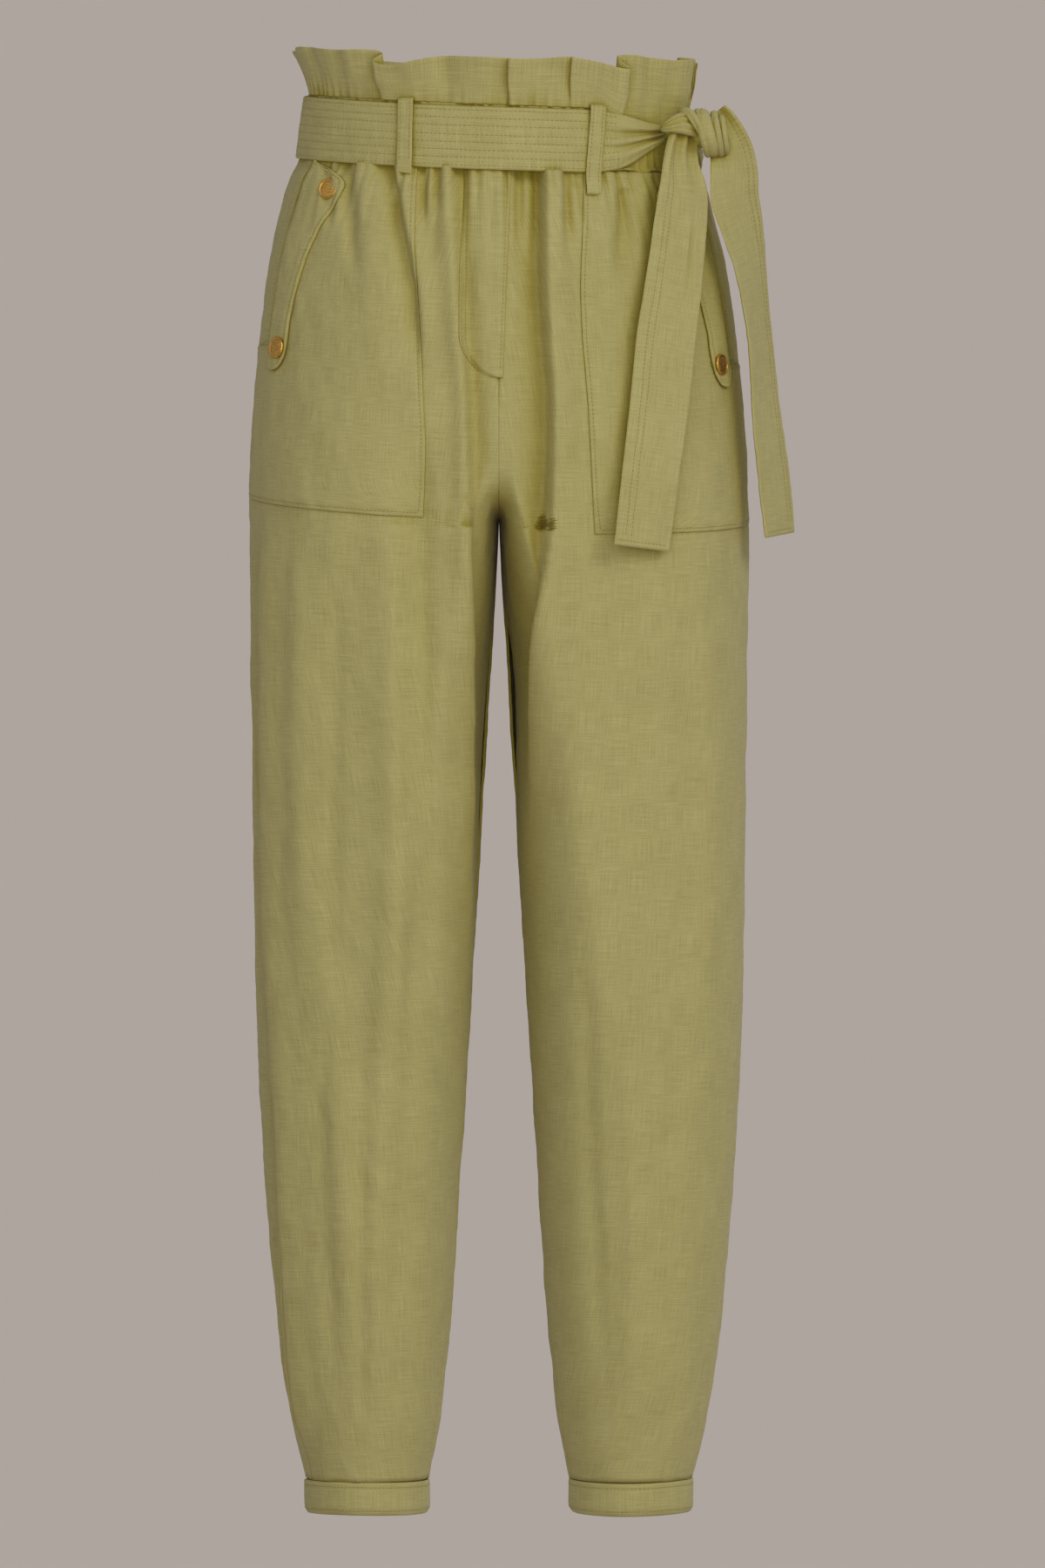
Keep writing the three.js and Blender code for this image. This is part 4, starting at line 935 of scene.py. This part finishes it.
def knot(name):
    neck_folds = ((0.72, 0.16, 1.3), (0.48, 0.09, -1.3), (0.22, 0.16, 1.3), (-0.04, 0.09, -1.5),
                  (-0.30, 0.18, 1.3), (-0.55, 0.09, -1.2))
    wrap_folds = ((0.66, 0.14, 0.7), (0.3, 0.09, -0.8), (-0.1, 0.2, 0.5), (-0.62, 0.12, 0.6))
    parts = [
        bundle([(116.5, -70, 6.6), (121, -70, 7.6), (127, -69, 9.4), (134, -67, 10.4), (141, -64, 9.8), (148, -60, 7)],
               [(0.2, -1, 0.3)] * 6, [2.4, 4.0, 6.6, 8.8, 9.8, 9.4], [1.9, 2.8, 3.6, 4.0, 4.0, 3.6], neck_folds, 44),
        bundle([(129.5, -60, 19), (134, -65.5, 19.4), (138.5, -70, 16.2), (142, -72, 11.2), (145, -72.5, 5), (147, -71, -1)],
               [(-0.3, -0.5, 0.9), (-0.3, -0.8, 0.7), (-0.3, -1, 0.4), (-0.3, -1, 0.2), (-0.2, -1, -0.1), (0, -1, -0.4)],
               [1.8, 2.9, 3.4, 3.2, 2.6, 1.6], [1.2, 1.8, 2.0, 1.8, 1.5, 1.0], ((0.3, 0.2, 0.5), (-0.3, 0.1, -0.6))),
        wrap_round((150.3, -57, 3.0), -3.6, 16.0, 15.4, -150, 150, 6.0, 2.2, wrap_folds, drift=-1.0),
        wrap_round((157.0, -56, 2.4), -2.8, 14.2, 14.6, -150, 150, 3.0, 2.0, ((0.0, 0.3, 0.7),), drift=1.0),
        wrap_round((161.4, -55, 1.6), -2.2, 12.0, 12.4, -150, 150, 2.6, 1.9, ((0.2, 0.3, 0.6),), drift=1.5),
        bundle([(141, -57, 6), (147, -57, 4), (154, -56, 2.6), (162, -54.5, 1.4)],
               [(0, -1, 0.1)] * 4, [8, 11.5, 11.5, 8], [8, 11.5, 10.5, 7.5]),
    ]
    return joined(name, parts, LINEN)


# ---- Cuffs ----
def cuff(name, side):
    low = np.array([0, 0.4, 0.9, 1.6, 2.6, 3.6])
    tall = CUFF_TOP - CUFF_BOTTOM
    d = np.r_[low, np.linspace(3.6, tall - 3.6, 9)[1:-1], tall - low[::-1]][:, None]
    a = np.radians(np.arange(0, 360, 2.5))[None, :]
    top = SECTIONS[0]
    half, inner = (top[1] - top[2]) / 2, (top[1] + top[2]) / 2
    depth = np.where(np.sin(a) > 0, top[3], top[4])
    edge = np.minimum(d, tall - d)
    out = 0.9 - 0.8 * bell(edge / 0.7) - 0.2 * bell((edge - 3.6) / 1.0) - 1.5 * smooth((d - tall + 5) / 5)
    arc = a * 49
    out = out + 0.35 * crumple(arc, d, 71 + side, 31, 0.6)
    z = CUFF_TOP - d - 0.4 + 0.5 * np.sin(a * 2 + side)

    def layer(extra):
        r = out + extra
        x = side * (inner + (half + r) * np.cos(a))
        return np.stack([x, -(depth + r) * np.sin(a), np.broadcast_to(z, x.shape)], -1)

    outer = layer(0)
    uv = np.stack(np.broadcast_arrays(np.r_[arc[0], 360 / 57.3 * 49][None, :], d + 3000), -1)
    piece = shell(name, outer, layer(-2.0), LINEN, ring=True, uv=uv)
    n = outer - np.array([side * inner, 0, 0])
    n[..., 2] = 0
    n /= np.linalg.norm(n, axis=-1, keepdims=True)
    for i in (5, len(d) - 6):
        line, up = np.r_[outer[i], outer[i, :1]], np.r_[n[i], n[i, :1]]
        stitch_row(line + up * 0.15, up)
    return piece


# ---- Materials ----
def math_node(nodes, links, operation, a, b=None):
    node = nodes.new("ShaderNodeMath")
    node.operation = operation
    for k, value in enumerate((a, b)):
        if value is None:
            continue
        if isinstance(value, (int, float)):
            node.inputs[k].default_value = value
        else:
            links.new(value, node.inputs[k])
    return node.outputs[0]


def noise(nodes, links, vector, scale, detail=2.0):
    mapping = nodes.new("ShaderNodeMapping")
    mapping.inputs["Scale"].default_value = scale
    links.new(vector, mapping.inputs["Vector"])
    texture = nodes.new("ShaderNodeTexNoise")
    texture.inputs["Scale"].default_value = 1.0
    texture.inputs["Detail"].default_value = detail
    links.new(mapping.outputs[0], texture.inputs["Vector"])
    return texture.outputs["Fac"]


def occlusion_for_painted_shade(nodes, distance):
    # Ambient occlusion, which feeds the shade painted into the linen colour.
    near = nodes.new("ShaderNodeAmbientOcclusion")
    near.samples = 4
    near.inputs["Distance"].default_value = distance
    return near.outputs["AO"]


def paint_shade_into_colour(nodes, links, colour, open_air, closed, half):
    """The colour with shade painted in: deepened and saturated where ambient occlusion finds little air in front of
    the cloth, in creases and hollows.
    """
    ramp = nodes.new("ShaderNodeValToRGB")
    stops = ramp.color_ramp.elements
    # closed is the painted deep-shade tint and half the painted half-shade tint; open cloth keeps its colour.
    stops[0].position, stops[0].color = 0.05, closed
    stops[1].position, stops[1].color = 0.9, (1.0, 1.0, 1.0, 1)
    stops.new(0.5).color = half
    links.new(open_air, ramp.inputs["Fac"])
    mix = nodes.new("ShaderNodeMix")
    mix.data_type, mix.blend_type = "RGBA", "MULTIPLY"
    mix.inputs[0].default_value = 1.0
    links.new(colour, mix.inputs[6])
    links.new(ramp.outputs["Color"], mix.inputs[7])
    return mix.outputs[2]


def linen_material():
    material = bpy.data.materials.new("linen")
    material.use_nodes = True
    nodes, links = material.node_tree.nodes, material.node_tree.links
    shader = nodes["Principled BSDF"]
    coordinates = nodes.new("ShaderNodeTexCoord")
    uv = coordinates.outputs["UV"]
    across_slubs = noise(nodes, links, uv, (48, 1500, 1), 3)
    along_slubs = noise(nodes, links, uv, (1500, 42, 1), 3)
    grain = noise(nodes, links, uv, (1900, 1900, 1), 2)
    mottle = noise(nodes, links, uv, (34, 24, 1), 2)
    weave = math_node(nodes, links, "ADD", across_slubs, along_slubs)
    weave = math_node(nodes, links, "ADD", weave, grain)
    tone = math_node(nodes, links, "ADD", math_node(nodes, links, "MULTIPLY", weave, 0.5),
                     math_node(nodes, links, "MULTIPLY", mottle, 0.16))
    shift = math_node(nodes, links, "SUBTRACT", tone, 0.33)
    ramp = nodes.new("ShaderNodeValToRGB")
    ramp.color_ramp.elements[0].position = 0.2
    ramp.color_ramp.elements[0].color = (0.262, 0.232, 0.074, 1)
    ramp.color_ramp.elements[1].position = 0.8
    ramp.color_ramp.elements[1].color = (0.470, 0.434, 0.196, 1)
    links.new(shift, ramp.inputs["Fac"])
    colour = ramp.outputs["Color"]
    # Painted shade: a 12 mm and a 75 mm ambient occlusion each darken and saturate the linen colour in creases and
    # between the legs.
    colour = paint_shade_into_colour(nodes, links, colour, occlusion_for_painted_shade(nodes, 0.012), (0.64, 0.54, 0.03, 1), (0.87, 0.81, 0.42, 1))
    colour = paint_shade_into_colour(nodes, links, colour, occlusion_for_painted_shade(nodes, 0.075), (0.90, 0.80, 0.05, 1), (0.95, 0.91, 0.52, 1))
    links.new(colour, shader.inputs["Base Color"])
    bump = nodes.new("ShaderNodeBump")
    bump.inputs["Strength"].default_value = 0.5
    bump.inputs["Distance"].default_value = 0.0007
    links.new(weave, bump.inputs["Height"])
    links.new(bump.outputs["Normal"], shader.inputs["Normal"])
    shader.inputs["Roughness"].default_value = 0.85
    shader.inputs["Specular IOR Level"].default_value = 0.2
    shader.inputs["Sheen Weight"].default_value = 0.14
    shader.inputs["Sheen Roughness"].default_value = 0.5
    shader.inputs["Sheen Tint"].default_value = (0.95, 0.93, 0.80, 1)
    return material


def thread_material():
    material = bpy.data.materials.new("thread")
    material.use_nodes = True
    nodes, links = material.node_tree.nodes, material.node_tree.links
    shader = nodes["Principled BSDF"]
    coordinates = nodes.new("ShaderNodeTexCoord")
    fleck = noise(nodes, links, coordinates.outputs["Object"], (900, 900, 900), 2)
    ramp = nodes.new("ShaderNodeValToRGB")
    ramp.color_ramp.elements[0].color = (0.22, 0.19, 0.055, 1)
    ramp.color_ramp.elements[1].color = (0.40, 0.36, 0.13, 1)
    links.new(fleck, ramp.inputs["Fac"])
    links.new(ramp.outputs["Color"], shader.inputs["Base Color"])
    shader.inputs["Roughness"].default_value = 0.6
    return material


def brass_material():
    material = bpy.data.materials.new("brass")
    material.use_nodes = True
    nodes, links = material.node_tree.nodes, material.node_tree.links
    shader = nodes["Principled BSDF"]
    coordinates = nodes.new("ShaderNodeTexCoord")
    brushed = noise(nodes, links, coordinates.outputs["Object"], (240, 240, 1900), 2)
    ramp = nodes.new("ShaderNodeValToRGB")
    ramp.color_ramp.elements[0].position = 0.3
    ramp.color_ramp.elements[0].color = (0.44, 0.235, 0.045, 1)
    ramp.color_ramp.elements[1].position = 0.8
    ramp.color_ramp.elements[1].color = (0.80, 0.50, 0.135, 1)
    links.new(brushed, ramp.inputs["Fac"])
    links.new(ramp.outputs["Color"], shader.inputs["Base Color"])
    bump = nodes.new("ShaderNodeBump")
    bump.inputs["Strength"].default_value = 0.12
    bump.inputs["Distance"].default_value = 0.0002
    links.new(brushed, bump.inputs["Height"])
    links.new(bump.outputs["Normal"], shader.inputs["Normal"])
    shader.inputs["Metallic"].default_value = 1.0
    shader.inputs["Roughness"].default_value = 0.42
    return material


def floor_material():
    material = bpy.data.materials.new("floor")
    material.use_nodes = True
    nodes, links = material.node_tree.nodes, material.node_tree.links
    shader = nodes["Principled BSDF"]
    coordinates = nodes.new("ShaderNodeTexCoord")
    speck = noise(nodes, links, coordinates.outputs["Object"], (0.4, 0.4, 0.4), 1)
    ramp = nodes.new("ShaderNodeValToRGB")
    ramp.color_ramp.elements[0].color = (0.632, 0.569, 0.542, 1)
    ramp.color_ramp.elements[1].color = (0.638, 0.575, 0.548, 1)
    links.new(speck, ramp.inputs["Fac"])
    links.new(ramp.outputs["Color"], shader.inputs["Base Color"])
    shader.inputs["Roughness"].default_value = 1.0
    shader.inputs["Specular IOR Level"].default_value = 0.0
    return material


# ---- Scene ----
def stage_floor():
    size, z = 200.0, CUFF_BOTTOM * MM - 0.5
    mesh = bpy.data.meshes.new("floor")
    mesh.from_pydata([(-size, -size, z), (size, -size, z), (size, size, z), (-size, size, z)], [], [(0, 1, 2, 3)])
    mesh.materials.append(floor_material())
    floor = bpy.data.objects.new("floor", mesh)
    bpy.context.scene.collection.objects.link(floor)


def sun(name, strength, spread, direction, colour):
    light = bpy.data.lights.new(name, "SUN")
    light.energy, light.angle, light.color = strength, math.radians(spread), colour
    holder = bpy.data.objects.new(name, light)
    holder.rotation_euler = Vector(direction).to_track_quat("Z", "Y").to_euler()
    bpy.context.scene.collection.objects.link(holder)


def softbox(name, power, size, where, towards):
    light = bpy.data.lights.new(name, "AREA")
    light.energy, light.size, light.color = power, size, (1.0, 0.98, 0.95)
    holder = bpy.data.objects.new(name, light)
    holder.location = where
    holder.rotation_euler = (Vector(where) - Vector(towards)).to_track_quat("Z", "Y").to_euler()
    bpy.context.scene.collection.objects.link(holder)


def light_scene():
    world = bpy.data.worlds.new("studio")
    world.use_nodes = True
    back = world.node_tree.nodes["Background"]
    back.inputs["Color"].default_value = (1.0, 0.97, 0.94, 1)
    back.inputs["Strength"].default_value = 0.37
    bpy.context.scene.world = world
    sun("key", 1.08, 26, (0.62, -0.72, 0.66), (1.0, 0.98, 0.95))
    sun("fill", 0.46, 90, (-0.5, -0.9, 0.25), (1.0, 0.98, 0.96))
    sun("back", 0.5, 60, (0.35, 0.9, 0.4), (1.0, 0.98, 0.96))
    softbox("front", 8.0, 1.0, (0.12, -1.6, -0.1), (0.0, 0.0, -0.42))


def set_camera():
    camera = bpy.data.cameras.new("camera")
    camera.lens, camera.sensor_width = 635.0, 36.0
    holder = bpy.data.objects.new("camera", camera)
    elevation = math.radians(2.8)
    distance = 20.0
    aim = Vector((0.017, 0.0, 0.0)) + Vector((0.0, math.sin(elevation), math.cos(elevation))) * -0.4692
    back = Vector((0.0, -math.cos(elevation), math.sin(elevation)))
    holder.location = aim + back * distance
    holder.rotation_euler = (-back).to_track_quat("-Z", "Y").to_euler()
    camera.clip_start, camera.clip_end = 0.5, 500.0
    camera.dof.use_dof = False
    bpy.context.scene.collection.objects.link(holder)
    bpy.context.scene.camera = holder
    view = bpy.context.scene.view_settings
    view.view_transform = "Standard"
    view.look = "None"


LINEN, THREAD, BRASS = linen_material(), thread_material(), brass_material()
CLOTH_PIECES = {}


def build():
    for word, side in (("right", -1), ("left", 1)):
        for face, front in (("front", True), ("back", False)):
            CLOTH_PIECES[f"{face}_{word}"] = panel(f"{face}_{word}_cloth", side, front)
        CLOTH_PIECES[f"pocket_{word}"] = pocket(f"pocket_{word}_cloth", side)
        CLOTH_PIECES[f"flap_{word}"] = flap(f"flap_{word}_cloth", side)
        CLOTH_PIECES[f"cuff_{word}"] = cuff(f"cuff_{word}_cloth", side)
        for where, z, reach in (("upper", -42, 69), ("lower", -158, 58)):
            cap = snap(f"snap_{where}_{word}_cap", side, z, reach)
            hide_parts(f"snap_{where}_{word}")
    CLOTH_PIECES["fly"] = fly("fly_cloth")
    CLOTH_PIECES["waist_casing"] = casing("casing_cloth")
    CLOTH_PIECES["heading"] = heading("heading_cloth")
    CLOTH_PIECES["belt_band"] = belt_band("belt_band_cloth")
    CLOTH_PIECES["belt_tail_front"] = strap("tail_front_cloth", FRONT_TAIL, 2.2, 2.4, FRONT_STITCHES, 61, 1.5, 4.0, 3300)
    CLOTH_PIECES["belt_tail_back"] = strap("tail_back_cloth", BACK_TAIL, 2.2, 2.4, BACK_STITCHES, 63, 0.0, 4.0, 3500)
    CLOTH_PIECES["belt_loop_front_right"] = belt_loop("loop_front_right_cloth", -28.4, -27.4, -27.5, 81)
    CLOTH_PIECES["belt_loop_front_left"] = belt_loop("loop_front_left_cloth", 30.5, 26.6, -38, 83)
    CLOTH_PIECES["belt_loop_back_left"] = belt_loop("loop_back_left_cloth", 148, 148, -28, 85)
    CLOTH_PIECES["belt_loop_back_right"] = belt_loop("loop_back_right_cloth", -148, -148, -28, 87)
    bundle_piece = knot("knot_cloth")
    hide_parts("belt_knot")
    for node, piece in CLOTH_PIECES.items():
        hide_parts(node)
    joined("stitches", STITCHES, THREAD)


build()
stage_floor()
light_scene()
set_camera()
